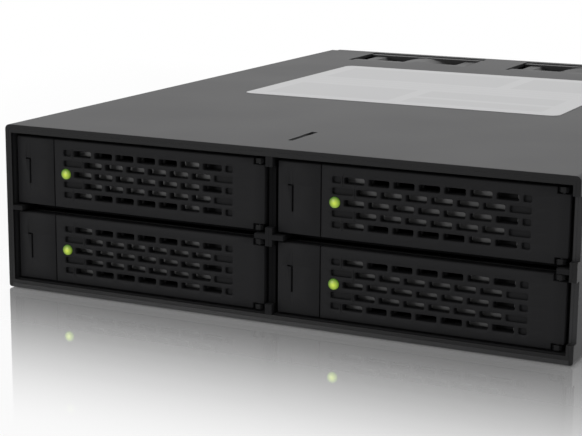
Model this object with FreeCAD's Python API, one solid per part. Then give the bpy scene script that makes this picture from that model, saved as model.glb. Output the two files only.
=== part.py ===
import FreeCAD, Part

# Hot swap drive cage for one half-height 5.25 inch bay: a folded sheet housing with four drive trays,
# each with a slotted swing lever and an eject button, a backplane, and two 40 mm fans at the rear.
#
# Millimetres. X runs across the cage from its middle, Z up from its underside. The functions below
# measure Y back from the front plane, and save() moves every piece so that Y = 0 is mid-depth.

import math
import os

V = FreeCAD.Vector
X_AXIS = V(1, 0, 0)
Y_AXIS = V(0, 1, 0)
Z_AXIS = V(0, 0, 1)

# Housing
CAGE_W = 146.0
CAGE_H = 41.3
CAGE_D = 196.0
SHEET = 1.0
BEND_R = 1.2
LOW_EDGE_R = 0.7
HOOD_BEND_R = 1.7
WALL_END_INSET = 3.6
HOOD_INSET = 3.0
HOOD_DROP = 4.0
RIM_SIDE = 0.7
RIM_TOP = 1.0
RIM_DEPTH = 6.0
HINGE_SETBACK = 2.0
CORNER_STUB_H = 2.4
MIDDLE_STUB_H = 4.4

# Centre wall and shelves
WALL_LEAF = 0.9
WALL_FLANGE = 5.0
SHELF_T = 1.2
SHELF_SETBACK = 6.5
SHELF_TAB = 2.8
TAB_FRONT = 12.1
TAB_LEN = 9.4
TAB_SLOT_CLEAR = 0.2
TAB_ENTRY_LEN = 4.0
TAB_ENTRY_W = 1.5

# Standard drive bay fixing holes
MOUNT_R = 1.25
MOUNT_Y = 52.0
MOUNT_PITCH_Y = 79.25
MOUNT_Z = 10.0
MOUNT_PITCH_Z = 11.84
MOUNT_PITCH_X = 139.7
MOUNT_RELIEF = 2.0

# Tray fronts
FACE_RECESS = 1.4
FACE_T = 2.2
FACE_GAP_SIDE = 0.85
FACE_GAP_TOP = 0.875
FACE_GAP_MIDDLE = 2.15
FACE_GAP_BOTTOM = 0.475
FACE_BEVEL = 0.4
BUTTON_W = 10.65
BUTTON_GAP = 0.25
GROOVE_OFFSET = 3.4
GROOVE_W = 0.45
GROOVE_H = 6.4
GROOVE_DEEP = 0.5
PAD_W = 2.0
PAD_DEEP = 0.2
STEM_W = 4.0
STEM_H = 6.0
STEM_LEN = 5.0
STEM_CLEAR = 0.4

# Slots of the lever
SLOT_L = 5.0
SLOT_H = 1.5
SLOT_PITCH = 6.0
ROW_PITCH = 2.6
ROWS = 5
GRILLE_START = 2.6
GRILLE_END = 8.4
GRILLE_EDGE = 2.9
POCKET_WEB = 0.65
POCKET_DEEP = 0.8

# Hinge, latch tongue and lamp
HINGE_INSET = 1.6
PIN_R = 0.5
PIN_CLEAR = 0.05
EAR_R = 1.1
EAR_T = 1.2
EAR_CLEAR = 0.25
NOTCH_H = 1.5
TONGUE_T = 1.2
TONGUE_H = 3.5
TONGUE_INSET = 0.45
TONGUE_RISE = 3.0
TONGUE_LEN = 4.4
TONGUE_HOLE = 1.4
LENS_R = 1.3
LENS_OFFSET = 3.35
LENS_PROUD = 0.2
PIPE_R = 0.9
PIPE_T = 0.7
PIPE_GAP = 0.3

# Tray
SLIDE_CLEAR = 0.2
RUN_CLEAR = 0.15
RUNNER_H = 1.0
RUNNER_W = 0.8
PAN_T = 0.8
FRONT_T = 0.8
FRONT_GAP = 1.4
WINDOW_H = 1.9
PAN_END = 108.0
PAN_WINDOW_W = 15.0
PAN_WINDOW_L = 18.0
PAN_WINDOW_FRONT = 24.0
PAN_WINDOW_PITCH_X = 24.0
PAN_WINDOW_PITCH_Y = 26.0
PAN_WINDOWS = 3
DRIVE_L = 100.35
DRIVE_FRONT = 10.5
DRIVE_HOLE_PITCH_X = 61.72
DRIVE_HOLE_PITCH_Y = 76.6
DRIVE_HOLE_END = 14.0
DRIVE_HOLE_R = 1.6

# Floor ribs that the lower trays run on
RIB_W = 4.0
RIB_INSET = 12.0
RIB_FRONT = 7.0
RIB_END = 108.0

# Backplane
SOCKET_W = 42.0
SOCKET_H = 7.0
SOCKET_L = 6.0
SOCKET_GAP = 0.35
SOCKET_OFFSET = -8.0
SOCKET_RISE = 0.4
SOCKET_SLOT_W = 33.4
SOCKET_SLOT_H = 2.2
SOCKET_SLOT_DEEP = 4.5
BOARD_T = 1.6
BOARD_CLEAR = 0.5
VENT_W = 16.0
VENT_H = 5.5
VENT_PITCH = 20.0
LUG_W = 10.0
LUG_H = 8.0
LUG_X = 58.0
HEADER_W = 5.0
HEADER_H = 5.8
HEADER_L = 3.2

# Fans
FAN_TOP_GAP = 0.3
FAN_L = 20.0
FAN_FLANGE = 3.0
FAN_BORE_INSET = 1.1
FAN_BARREL_INSET = 0.1
FAN_BOSS = 7.0
FAN_HOLE_INSET = 4.0
FAN_PITCH = 54.8
FAN_MIDDLE = -7.5
FAN_CLEAR = 0.3
FAN_CUT_CLEAR = 0.3
FAN_CUT_FRONT = 2.0
HUB_INSET = 8.5
HUB_L = 13.0
HUB_WALL = 1.0
CUP_INSET = 1.0
TIP_CLEAR = 0.5
BLADES = 7
BLADE_PITCH = 30.0
BLADE_ROOT_T = 1.2
BLADE_TIP_T = 0.8
BLADE_ROOT_L = 9.0
BLADE_TIP_L = 11.5
BLADE_START = 1.0
SHAFT_R = 1.5
SHAFT_CLEAR = 0.05
BUSH_R = 3.0
STRUTS = 4
STRUT_W = 2.2
STRUT_T = 2.4
ROTOR_GAP = 0.4
REAR_HOLE_CLEAR = 0.1
FAN_SCREW_R = 1.7
FAN_SCREW_HEAD_R = 3.2
FAN_SCREW_HEAD_H = 1.6
FAN_SCREW_L = 6.0

# Ports at the rear
PORT_BOARD_GAP = 8.0
PORT_MARGIN = 2.0
DATA_W = 5.0
DATA_H = 14.0
DATA_PITCH = 7.0
DATA_PORTS = 4
POWER_W = 24.0
POWER_H = 5.5
POWER_PITCH = 8.0
POWER_PORTS = 2
PORT_PROUD = 1.0
PORT_CLEAR = 0.2
PORT_WALL = 1.0
PORT_DEEP = 6.0
LINK_W = 24.0
LINK_HEADER_H = 6.0
LINK_HEADER_L = 4.0

# Welded flanges and tabs
FLANGE_H = 7.5
FLANGE_FRONT = 138.0
FLANGE_END = 166.0
REAR_TAB_L = 12.0
REAR_TAB_H = 20.0

# Sides of the small pins and holes, of hubs and lenses, and of the fans' bores
PIN_SIDES = 12
HUB_SIDES = 24
BORE_SIDES = 48

# Worked out from the sizes above
HALF_W = CAGE_W / 2
INNER_X = HALF_W - SHEET
INNER_TOP = CAGE_H - SHEET
MOUTH_X = INNER_X - RIM_SIDE
MOUTH_LOW = SHEET + RIM_TOP
MOUTH_TOP = INNER_TOP - RIM_TOP
MOUTH_W = MOUTH_X - WALL_LEAF
BAY_X = (MOUTH_X + WALL_LEAF) / 2
FACE_H = (MOUTH_TOP - MOUTH_LOW - FACE_GAP_TOP - FACE_GAP_MIDDLE - FACE_GAP_BOTTOM) / 2
FACE_HALF_W = MOUTH_W / 2 - FACE_GAP_SIDE
FACE_BACK = FACE_RECESS + FACE_T
LOWER_Z = MOUTH_LOW + FACE_GAP_BOTTOM + FACE_H / 2
UPPER_Z = LOWER_Z + FACE_H + FACE_GAP_MIDDLE
SHELF_Z = (LOWER_Z + UPPER_Z) / 2
TRAY_DROP = UPPER_Z - (SHELF_Z + SHELF_T / 2 + RUN_CLEAR)
TRAY_HALF_W = MOUTH_W / 2 - SLIDE_CLEAR
RIB_TOP = LOWER_Z - TRAY_DROP - RUN_CLEAR
FRONT_Y = FACE_BACK + FRONT_GAP
BUTTON_EDGE = -FACE_HALF_W + BUTTON_W
LEVER_EDGE = BUTTON_EDGE + BUTTON_GAP
HINGE_U = FACE_HALF_W - HINGE_INSET
HINGE_Y = FACE_RECESS + FACE_T / 2
LENS_U = LEVER_EDGE + LENS_OFFSET
SOCKET_FRONT = DRIVE_FRONT + DRIVE_L + SOCKET_GAP
BOARD_Y = SOCKET_FRONT + SOCKET_L
BOARD_BACK = BOARD_Y + BOARD_T
WALL_END = CAGE_D - WALL_END_INSET
REAR_Y = WALL_END - SHEET - FAN_CLEAR
FAN_BACK = REAR_Y
FAN_FRONT = FAN_BACK - FAN_L
FAN_SIZE = CAGE_H - SHEET - FAN_TOP_GAP
FAN_BORE_R = FAN_SIZE / 2 - FAN_BORE_INSET
FAN_BARREL_R = FAN_SIZE / 2 - FAN_BARREL_INSET
FAN_HOLE_REACH = FAN_SIZE / 2 - FAN_HOLE_INSET
HUB_R = FAN_SIZE / 2 - HUB_INSET
FAN_Z = SHEET + FAN_SIZE / 2
FANS = {"left": FAN_MIDDLE - FAN_PITCH / 2, "right": FAN_MIDDLE + FAN_PITCH / 2}
FAN_EDGE = FANS["right"] + FAN_SIZE / 2
PORT_LEFT = FAN_EDGE + PORT_MARGIN
PORT_RIGHT = INNER_X - PORT_MARGIN
PORT_X = (PORT_LEFT + PORT_RIGHT) / 2
PORT_BOARD_Y = REAR_Y - PORT_BOARD_GAP
LINK_Z = SHELF_Z
BAYS = {
    "upper_left": (-BAY_X, UPPER_Z),
    "upper_right": (BAY_X, UPPER_Z),
    "lower_left": (-BAY_X, LOWER_Z),
    "lower_right": (BAY_X, LOWER_Z),
}


def block(x0, x1, y0, y1, z0, z1):
    """A box between two limits on each axis."""
    return Part.makeBox(x1 - x0, y1 - y0, z1 - z0, V(x0, y0, z0))


def rod(axis, radius, length, at):
    """A cylinder that starts at a point and runs along an axis."""
    return Part.makeCylinder(radius, length, at, axis)


def prism(axis, radius, length, at, sides=PIN_SIDES):
    """A rod with flat sides, for round features that repeat or cross others, which flats keep light."""
    arm = axis.cross(Z_AXIS if abs(axis.z) < 0.5 else X_AXIS) * radius
    corners = [at + FreeCAD.Rotation(axis, 360.0 * n / sides).multVec(arm) for n in range(sides)]
    return Part.Face(Part.makePolygon(corners + corners[:1])).extrude(axis * length)


def join(pieces):
    """One solid from pieces that touch or overlap."""
    first, rest = pieces[0], pieces[1:]
    return first.fuse(rest).removeSplitter() if rest else first


def cut(body, tools):
    """A body with tools taken out of it."""
    return body.cut(Part.makeCompound(tools))


def slab(outline, y0, y1):
    """A flat plate from an X, Z outline, extruded from y0 back to y1."""
    wire = Part.makePolygon([V(x, y0, z) for x, z in outline + outline[:1]])
    return Part.Face(wire).extrude(V(0, y1 - y0, 0))


def edges_along(shape, axis, chosen):
    """The straight edges that run along an axis and whose middle passes a test."""
    found = []
    for edge in shape.Edges:
        ends = edge.lastVertex().Point - edge.firstVertex().Point
        if ends.Length > 0 and abs(ends.normalize().dot(axis)) > 0.999 and chosen(edge.CenterOfMass):
            found.append(edge)
    return found


def save(name, solids):
    """Write one node, with its origin at mid-depth."""
    shape = Part.makeCompound(solids) if len(solids) > 1 else solids[0].copy()
    shape.translate(V(0, -CAGE_D / 2, 0))
    shape.exportStep(f"parts/{name}.step")


# Housing ------------------------------------------------------------------------------------------


def side_mount_holes(side):
    """Four threaded holes through one side wall, on the standard drive bay pattern."""
    x = side * INNER_X - (SHEET if side < 0 else 0) - SHEET / 2
    return [
        rod(X_AXIS, MOUNT_R, 2 * SHEET, V(x, y, z))
        for y in (MOUNT_Y, MOUNT_Y + MOUNT_PITCH_Y)
        for z in (MOUNT_Z, MOUNT_Z + MOUNT_PITCH_Z)
    ]


def setbacks():
    """The stretches of the hinge side's wall that stop short of the front plane."""
    middle = MIDDLE_STUB_H / 2
    return [
        block(MOUTH_X - 1, HALF_W + 1, -1, HINGE_SETBACK, MOUTH_LOW + CORNER_STUB_H, SHELF_Z - middle),
        block(MOUTH_X - 1, HALF_W + 1, -1, HINGE_SETBACK, SHELF_Z + middle, MOUTH_TOP - CORNER_STUB_H),
    ]


def fan_cutouts():
    """Roof openings that the fans stand up into."""
    half = FAN_SIZE / 2 + FAN_CUT_CLEAR
    front = FAN_FRONT - FAN_CUT_CLEAR - FAN_CUT_FRONT
    back = FAN_BACK + FAN_CUT_CLEAR
    return [block(x - half, x + half, front, back, INNER_TOP - 1, CAGE_H + 1) for x in FANS.values()]


def tab_slot():
    """Keyhole slot in the roof for the centre wall's tab, wider where the tab goes in."""
    x0 = -WALL_LEAF - TAB_SLOT_CLEAR
    y0 = TAB_FRONT - TAB_SLOT_CLEAR
    y1 = TAB_FRONT + TAB_LEN + TAB_SLOT_CLEAR
    narrow = block(x0, TAB_SLOT_CLEAR, y0, y1, INNER_TOP - 1, CAGE_H + 1)
    middle = -WALL_LEAF / 2
    half = TAB_ENTRY_W / 2
    wide = block(middle - half, middle + half, y1 - 1, y1 + TAB_ENTRY_LEN, INNER_TOP - 1, CAGE_H + 1)
    return [narrow, wide]


def roof_cover():
    """Roof and both side walls folded from one sheet, with a hood lip over the rear panel."""
    shell = block(-HALF_W, HALF_W, 0, WALL_END, 0, CAGE_H)
    top = edges_along(shell, Y_AXIS, lambda p: p.z > CAGE_H - 0.01)
    shell = shell.makeFillet(BEND_R, top).cut(block(-INNER_X, INNER_X, -1, CAGE_D, -1, INNER_TOP))
    low = edges_along(shell, Y_AXIS, lambda p: p.z < 0.01 and abs(p.x) > HALF_W - 0.01)
    shell = shell.makeFillet(LOW_EDGE_R, low)
    lip_x = HALF_W - HOOD_INSET
    hood = block(-lip_x, lip_x, WALL_END - 1, CAGE_D, CAGE_H - HOOD_DROP, CAGE_H)
    bend = edges_along(hood, X_AXIS, lambda p: p.z > CAGE_H - 0.01 and p.y > CAGE_D - 0.01)
    hood = hood.makeFillet(HOOD_BEND_R, bend)
    hood = hood.cut(block(-HALF_W, HALF_W, 0, CAGE_D - SHEET, 0, INNER_TOP))
    tools = side_mount_holes(-1) + side_mount_holes(1) + setbacks() + fan_cutouts() + tab_slot()
    return cut(join([shell, hood]), tools)


def rib_outline(x):
    """Outline of the floor's upper and lower faces where a rib is pressed up out of it."""
    slope = RIB_TOP - SHEET
    half = RIB_W / 2
    return x - half - slope, x - half, x + half, x + half + slope


def base_pan():
    """Floor with pressed ribs for the lower trays, side flanges and the backplane's lugs."""
    floor = block(-INNER_X, INNER_X, 0, WALL_END, 0, SHEET)
    rise = RIB_TOP - SHEET
    for bay in (-BAY_X, BAY_X):
        for x in (bay - TRAY_HALF_W + RIB_INSET, bay + TRAY_HALF_W - RIB_INSET):
            a, b, c, d = rib_outline(x)
            raised = slab([(a, SHEET), (b, RIB_TOP), (c, RIB_TOP), (d, SHEET)], RIB_FRONT, RIB_END)
            under = [(a, -rise), (a, 0), (b, rise), (c, rise), (d, 0), (d, -rise)]
            hollow = slab(under, RIB_FRONT + SHEET, RIB_END - SHEET)
            floor = floor.fuse(raised).cut(hollow)
    pieces = [floor]
    for side in (-1, 1):
        x0, x1 = sorted((side * INNER_X, side * (INNER_X - SHEET)))
        pieces.append(block(x0, x1, FLANGE_FRONT, FLANGE_END, SHEET, SHEET + FLANGE_H))
    for x in (-LUG_X, LUG_X):
        lug = block(x - LUG_W / 2, x + LUG_W / 2, BOARD_BACK, BOARD_BACK + SHEET, SHEET, SHEET + LUG_H)
        pieces.append(lug)
    bottom_holes = [
        rod(Z_AXIS, MOUNT_R, 3 * SHEET, V(x, y, -SHEET))
        for x in (-MOUNT_PITCH_X / 2, MOUNT_PITCH_X / 2)
        for y in (MOUNT_Y, MOUNT_Y + MOUNT_PITCH_Y)
    ]
    return cut(join(pieces), bottom_holes)


def front_bezel():
    """Rim that lines the mouth of the housing."""
    ring = block(-INNER_X, INNER_X, 0, RIM_DEPTH, SHEET, INNER_TOP)
    mouth = block(-MOUTH_X, MOUTH_X, -1, RIM_DEPTH + 1, MOUTH_LOW, MOUTH_TOP)
    return cut(ring, [mouth] + setbacks())


def wall_leaf(side):
    """One channel of the centre wall: web with top and bottom flanges and three front stubs."""
    x0, x1 = sorted((0, side * WALL_LEAF))
    pieces = [block(x0, x1, RIM_DEPTH, BOARD_Y, SHEET, INNER_TOP)]
    pieces.append(block(x0, x1, HINGE_SETBACK, RIM_DEPTH, MOUTH_LOW, MOUTH_TOP))
    middle = MIDDLE_STUB_H / 2
    for z0, z1 in (
        (MOUTH_LOW, MOUTH_LOW + CORNER_STUB_H),
        (SHELF_Z - middle, SHELF_Z + middle),
        (MOUTH_TOP - CORNER_STUB_H, MOUTH_TOP),
    ):
        pieces.append(block(x0, x1, 0, HINGE_SETBACK, z0, z1))
    f0, f1 = sorted((side * WALL_LEAF, side * (WALL_LEAF + WALL_FLANGE)))
    pieces.append(block(f0, f1, RIM_DEPTH, BOARD_Y, SHEET, SHEET + WALL_LEAF))
    pieces.append(block(f0, f1, RIM_DEPTH, BOARD_Y, INNER_TOP - WALL_LEAF, INNER_TOP))
    return pieces


def centre_wall():
    """Two channels back to back. The left one's tab stands up through the roof."""
    left = wall_leaf(-1)
    tab = block(-WALL_LEAF, 0, TAB_FRONT, TAB_FRONT + TAB_LEN, INNER_TOP, CAGE_H - SHEET / 10)
    return [join(left + [tab]), join(wall_leaf(1))]


def bay_shelf(side):
    """Shelf between an upper and a lower tray, with two tabs that reach the front plane."""
    low, top = SHELF_Z - SHELF_T / 2, SHELF_Z + SHELF_T / 2
    inner, outer = WALL_LEAF, INNER_X
    pieces = [block(inner, outer, SHELF_SETBACK, BOARD_Y, low, top)]
    pieces.append(block(inner, inner + SHELF_TAB, 0, SHELF_SETBACK, low, top))
    pieces.append(block(MOUTH_X - SHELF_TAB, MOUTH_X, 0, SHELF_SETBACK, low, top))
    relief = block(
        INNER_X - MOUNT_RELIEF, INNER_X + 1,
        MOUNT_Y - MOUNT_R - MOUNT_RELIEF, MOUNT_Y + MOUNT_R + MOUNT_RELIEF,
        low - 1, top + 1,
    )
    shelf = cut(join(pieces), [relief])
    return shelf if side > 0 else shelf.mirror(V(0, 0, 0), X_AXIS)


def rear_panel():
    """Rear sheet with the fan openings, their screw holes, the port openings and side tabs."""
    pieces = [block(-INNER_X, INNER_X, REAR_Y, REAR_Y + SHEET, SHEET, INNER_TOP)]
    for side in (-1, 1):
        x0, x1 = sorted((side * INNER_X, side * (INNER_X - SHEET)))
        z = CAGE_H / 2
        pieces.append(block(x0, x1, REAR_Y - REAR_TAB_L, REAR_Y, z - REAR_TAB_H / 2, z + REAR_TAB_H / 2))
    hole_r = FAN_BORE_R + REAR_HOLE_CLEAR
    holes = [
        prism(Y_AXIS, hole_r, 3 * SHEET, V(x, REAR_Y - SHEET, FAN_Z), BORE_SIDES) for x in FANS.values()
    ]
    for x, z, w, h in ports():
        a, b = w / 2 + PORT_CLEAR, h / 2 + PORT_CLEAR
        holes.append(block(x - a, x + a, REAR_Y - 1, REAR_Y + SHEET + 1, z - b, z + b))
    return cut(join(pieces), holes + all_fan_screws())


# Trays --------------------------------------------------------------------------------------------


def face_plate(u0, u1, half_h):
    """Front plate of a lever or button, with a small bevel along its top and bottom front edges."""
    plate = block(u0, u1, FACE_RECESS, FACE_BACK, -half_h, half_h)
    front = edges_along(plate, X_AXIS, lambda p: p.y < FACE_RECESS + 0.01)
    return plate.makeChamfer(FACE_BEVEL, front)


def open_slots(row):
    """Left edges of the open slots in a row. Odd rows are staggered by half a pitch."""
    staggered = row % 2 == 1
    first = LEVER_EDGE + GRILLE_START + GRILLE_EDGE + (SLOT_PITCH / 2 if staggered else 0)
    last = FACE_HALF_W - GRILLE_END - POCKET_WEB - SLOT_L
    count = int((last - first) / SLOT_PITCH) + 1
    return [first + SLOT_PITCH * n for n in range(count)]


def lever():
    """Swing lever: five rows of staggered slots, blind end pockets, hinge notches, latch tongue."""
    half = FACE_H / 2
    plate = face_plate(LEVER_EDGE, FACE_HALF_W, half)
    tongue_x = LEVER_EDGE + TONGUE_INSET
    tongue = block(
        tongue_x, tongue_x + TONGUE_T, FACE_BACK, FACE_BACK + TONGUE_LEN, TONGUE_RISE, TONGUE_RISE + TONGUE_H
    )
    tools = [prism(Y_AXIS, LENS_R, FACE_T, V(LENS_U, FACE_RECESS, 0), HUB_SIDES)]
    eye_y = FACE_BACK + TONGUE_LEN - 2 * TONGUE_HOLE
    eye_z = TONGUE_RISE + (TONGUE_H - TONGUE_HOLE) / 2
    tools.append(block(tongue_x - 1, tongue_x + TONGUE_T + 1, eye_y, eye_y + TONGUE_HOLE, eye_z, eye_z + TONGUE_HOLE))
    left, right = LEVER_EDGE + GRILLE_START, FACE_HALF_W - GRILLE_END
    for row in range(ROWS):
        z = (ROWS // 2 - row) * ROW_PITCH
        low, top = z - SLOT_H / 2, z + SLOT_H / 2
        starts = open_slots(row)
        for u in starts:
            tools.append(block(u, u + SLOT_L, 0, FACE_BACK + 1, low, top))
        if row != ROWS // 2:
            tools.append(block(left, starts[0] - POCKET_WEB, 0, FACE_RECESS + POCKET_DEEP, low, top))
        end = starts[-1] + SLOT_PITCH
        tools.append(block(end, right, 0, FACE_RECESS + POCKET_DEEP, low, top))
    notch_u = HINGE_U - EAR_R - EAR_CLEAR
    tools.append(block(notch_u, FACE_HALF_W + 1, 0, FACE_BACK + 1, half - NOTCH_H, half + 1))
    tools.append(block(notch_u, FACE_HALF_W + 1, 0, FACE_BACK + 1, -half - 1, NOTCH_H - half))
    tools.append(rod(Z_AXIS, PIN_R + PIN_CLEAR, FACE_H, V(HINGE_U, HINGE_Y, -half)))
    return cut(join([plate, tongue]), tools)


def lamp_lens():
    """Round lens pressed into the lever, standing a little proud of it."""
    return prism(Y_AXIS, LENS_R, FACE_T + LENS_PROUD, V(LENS_U, FACE_RECESS - LENS_PROUD, 0), HUB_SIDES)


def eject_button():
    """Button plate with a finger pad and groove, and a stem that runs in the tray front."""
    plate = face_plate(-FACE_HALF_W, BUTTON_EDGE, FACE_H / 2)
    stem_u = (BUTTON_EDGE - FACE_HALF_W) / 2
    stem = block(
        stem_u - STEM_W / 2, stem_u + STEM_W / 2, FACE_BACK, FACE_BACK + STEM_LEN, -STEM_H / 2, STEM_H / 2
    )
    groove_u = -FACE_HALF_W + GROOVE_OFFSET
    groove = block(groove_u, groove_u + GROOVE_W, 0, FACE_RECESS + GROOVE_DEEP, -GROOVE_H / 2, GROOVE_H / 2)
    pad = block(groove_u - PAD_W, groove_u, 0, FACE_RECESS + PAD_DEEP, -GROOVE_H / 2, GROOVE_H / 2)
    return cut(join([plate, stem]), [groove, pad])


def button_spring():
    """Bowed leaf spring between the tray front and the back of the button."""
    middle = (BUTTON_EDGE - FACE_HALF_W) / 2
    half = BUTTON_W * 0.4
    leaf = 0.2
    tip = FACE_BACK + 0.1
    outer = Part.Arc(V(middle - half, FRONT_Y, 0), V(middle, tip, 0), V(middle + half, FRONT_Y, 0))
    inner = Part.Arc(
        V(middle + half - 2 * leaf, FRONT_Y, 0), V(middle, tip + leaf, 0), V(middle - half + 2 * leaf, FRONT_Y, 0)
    )
    ends = [
        Part.LineSegment(V(middle + half, FRONT_Y, 0), V(middle + half - 2 * leaf, FRONT_Y, 0)),
        Part.LineSegment(V(middle - half + 2 * leaf, FRONT_Y, 0), V(middle - half, FRONT_Y, 0)),
    ]
    edges = [outer.toShape(), ends[0].toShape(), inner.toShape(), ends[1].toShape()]
    strip = Part.Face(Part.Wire(edges)).extrude(V(0, 0, STEM_H / 2))
    strip.translate(V(0, 0, STEM_H / 2 + STEM_CLEAR))
    return strip


def hinge_pin():
    """Steel pin down through the upper ear and the lever, seated on the lower ear."""
    return rod(Z_AXIS, PIN_R, FACE_H - EAR_T, V(HINGE_U, HINGE_Y, EAR_T - FACE_H / 2))


def tray_front():
    """Upright front of the tray, with air windows behind the slots and the two hinge ears."""
    half = FACE_H / 2
    bottom = -TRAY_DROP
    pieces = [block(-TRAY_HALF_W, TRAY_HALF_W, FRONT_Y, FRONT_Y + FRONT_T, bottom, half)]
    for z0 in (half - EAR_T, -half):
        ear = block(HINGE_U - EAR_R, HINGE_U + EAR_R, HINGE_Y - EAR_R, FRONT_Y, z0, z0 + EAR_T)
        nose = edges_along(ear, Z_AXIS, lambda p: p.y < HINGE_Y)
        pieces.append(ear.makeChamfer(EAR_R / 2, nose))
    tools = [rod(Z_AXIS, PIN_R, FACE_H, V(HINGE_U, HINGE_Y, EAR_T - half))]
    stem_u = (BUTTON_EDGE - FACE_HALF_W) / 2
    a, b = STEM_W / 2 + STEM_CLEAR, STEM_H / 2 + STEM_CLEAR / 2
    tools.append(block(stem_u - a, stem_u + a, FRONT_Y - 1, FRONT_Y + 2, -b, b))
    tongue_x = LEVER_EDGE + TONGUE_INSET
    tools.append(
        block(
            tongue_x - 2 * STEM_CLEAR, tongue_x + TONGUE_T + STEM_CLEAR, FRONT_Y - 1, FRONT_Y + 2,
            TONGUE_RISE - STEM_CLEAR, TONGUE_RISE + TONGUE_H + STEM_CLEAR,
        )
    )
    tools.append(block(LENS_U - PIPE_R, LENS_U + PIPE_R, FRONT_Y - 1, FRONT_Y + 2, -PIPE_R, PIPE_R))
    starts = open_slots(0)
    for z in (ROWS // 2 * ROW_PITCH, -(ROWS // 2) * ROW_PITCH):
        for u in starts[1:5]:
            tools.append(
                block(u, u + SLOT_L, FRONT_Y - 1, FRONT_Y + 2, z - WINDOW_H / 2, z + WINDOW_H / 2)
            )
    return cut(join(pieces), tools)


def tray_pan():
    """Tray plate with two runners folded down, drive screw holes and lightening windows."""
    bottom = -TRAY_DROP
    low, top = bottom + RUNNER_H, bottom + RUNNER_H + PAN_T
    start = FRONT_Y + FRONT_T
    pieces = [block(-TRAY_HALF_W, TRAY_HALF_W, start, PAN_END, low, top)]
    for u0 in (-TRAY_HALF_W, TRAY_HALF_W - RUNNER_W):
        pieces.append(block(u0, u0 + RUNNER_W, start, PAN_END, bottom, low))
    back = DRIVE_FRONT + DRIVE_L - DRIVE_HOLE_END
    tools = []
    for u in (-DRIVE_HOLE_PITCH_X / 2, DRIVE_HOLE_PITCH_X / 2):
        for y in (back, back - DRIVE_HOLE_PITCH_Y):
            tools.append(prism(Z_AXIS, DRIVE_HOLE_R, PAN_T + 2, V(u, y, low - 1)))
    half = PAN_WINDOW_W / 2
    for u in (-PAN_WINDOW_PITCH_X / 2, PAN_WINDOW_PITCH_X / 2):
        for n in range(PAN_WINDOWS):
            y = PAN_WINDOW_FRONT + n * PAN_WINDOW_PITCH_Y
            tools.append(block(u - half, u + half, y, y + PAN_WINDOW_L, low - 1, top + 1))
    clear = PIPE_R + PIPE_GAP
    tools.append(block(LENS_U - clear, LENS_U + clear, start - 1, start + 2 * clear + 1, low - 1, top + 1))
    return cut(join(pieces), tools)


def light_pipe():
    """Clear guide from the tray's rear end, under the plate and up to the lens."""
    bottom = -TRAY_DROP + RUN_CLEAR
    y0 = FACE_BACK + PIPE_GAP
    riser = FRONT_Y + FRONT_T + PIPE_GAP
    nose = block(LENS_U - PIPE_R, LENS_U + PIPE_R, y0, riser + PIPE_R, -PIPE_R, PIPE_R)
    post = block(LENS_U - PIPE_R, LENS_U + PIPE_R, riser, riser + 2 * PIPE_R, bottom, PIPE_R)
    run = block(LENS_U - PIPE_R, LENS_U + PIPE_R, riser, PAN_END, bottom, bottom + PIPE_T)
    return join([nose, post, run])


# Backplane and ports --------------------------------------------------------------------------------


def backplane_board():
    """Circuit board behind the bays, with air windows above each socket."""
    edge = INNER_X - BOARD_CLEAR
    board = block(-edge, edge, BOARD_Y, BOARD_BACK, SHEET + BOARD_CLEAR, INNER_TOP - BOARD_CLEAR)
    tools = []
    for x, z in BAYS.values():
        for step in (-1, 0, 1):
            mid = x + step * VENT_PITCH
            low = z + FACE_H / 2 - VENT_H - 2
            tools.append(block(mid - VENT_W / 2, mid + VENT_W / 2, BOARD_Y - 1, BOARD_BACK + 1, low, low + VENT_H))
    return cut(board, tools)


def drive_socket(x, z):
    """Socket that a drive's edge connector slides into, with its keyed slot."""
    mid = x + SOCKET_OFFSET
    low = z - TRAY_DROP + RUNNER_H + PAN_T + SOCKET_RISE
    body = block(mid - SOCKET_W / 2, mid + SOCKET_W / 2, SOCKET_FRONT, BOARD_Y, low, low + SOCKET_H)
    slot_low = low + (SOCKET_H - SOCKET_SLOT_H) / 2
    front, back = SOCKET_FRONT - 1, SOCKET_FRONT + SOCKET_SLOT_DEEP
    half = SOCKET_SLOT_W / 2
    slot = block(mid - half, mid + half, front, back, slot_low, slot_low + SOCKET_SLOT_H)
    key = block(mid - half, mid - half + SOCKET_SLOT_H, front, back, slot_low, low + SOCKET_H - 1)
    return cut(body, [slot, key])


def fan_header(x):
    """Shrouded two-pin header for one fan's lead."""
    z = SHELF_Z
    shroud = block(x - HEADER_W / 2, x + HEADER_W / 2, BOARD_BACK, BOARD_BACK + HEADER_H, z, z + HEADER_L)
    wall = 0.6
    hollow = block(
        x - HEADER_W / 2 + wall, x + HEADER_W / 2 - wall,
        BOARD_BACK + wall, BOARD_BACK + HEADER_H + 1, z + wall, z + HEADER_L + 1,
    )
    pins = [
        block(x + d - 0.3, x + d + 0.3, BOARD_BACK, BOARD_BACK + HEADER_H - 1, z + 1.3, z + 1.9)
        for d in (-1, 1)
    ]
    return join([shroud.cut(hollow)] + pins)


def ports():
    """Centre, width and height of each port at the rear: four upright data ports, two power ports."""
    found = []
    first = PORT_X - (DATA_PORTS - 1) / 2 * DATA_PITCH
    data_z = INNER_TOP - PORT_MARGIN - 1 - DATA_H / 2
    for n in range(DATA_PORTS):
        found.append((first + n * DATA_PITCH, data_z, DATA_W, DATA_H))
    for n in range(POWER_PORTS):
        z = SHEET + PORT_MARGIN + 1 + POWER_H / 2 + n * POWER_PITCH
        found.append((PORT_X, z, POWER_W, POWER_H))
    return found


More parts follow.
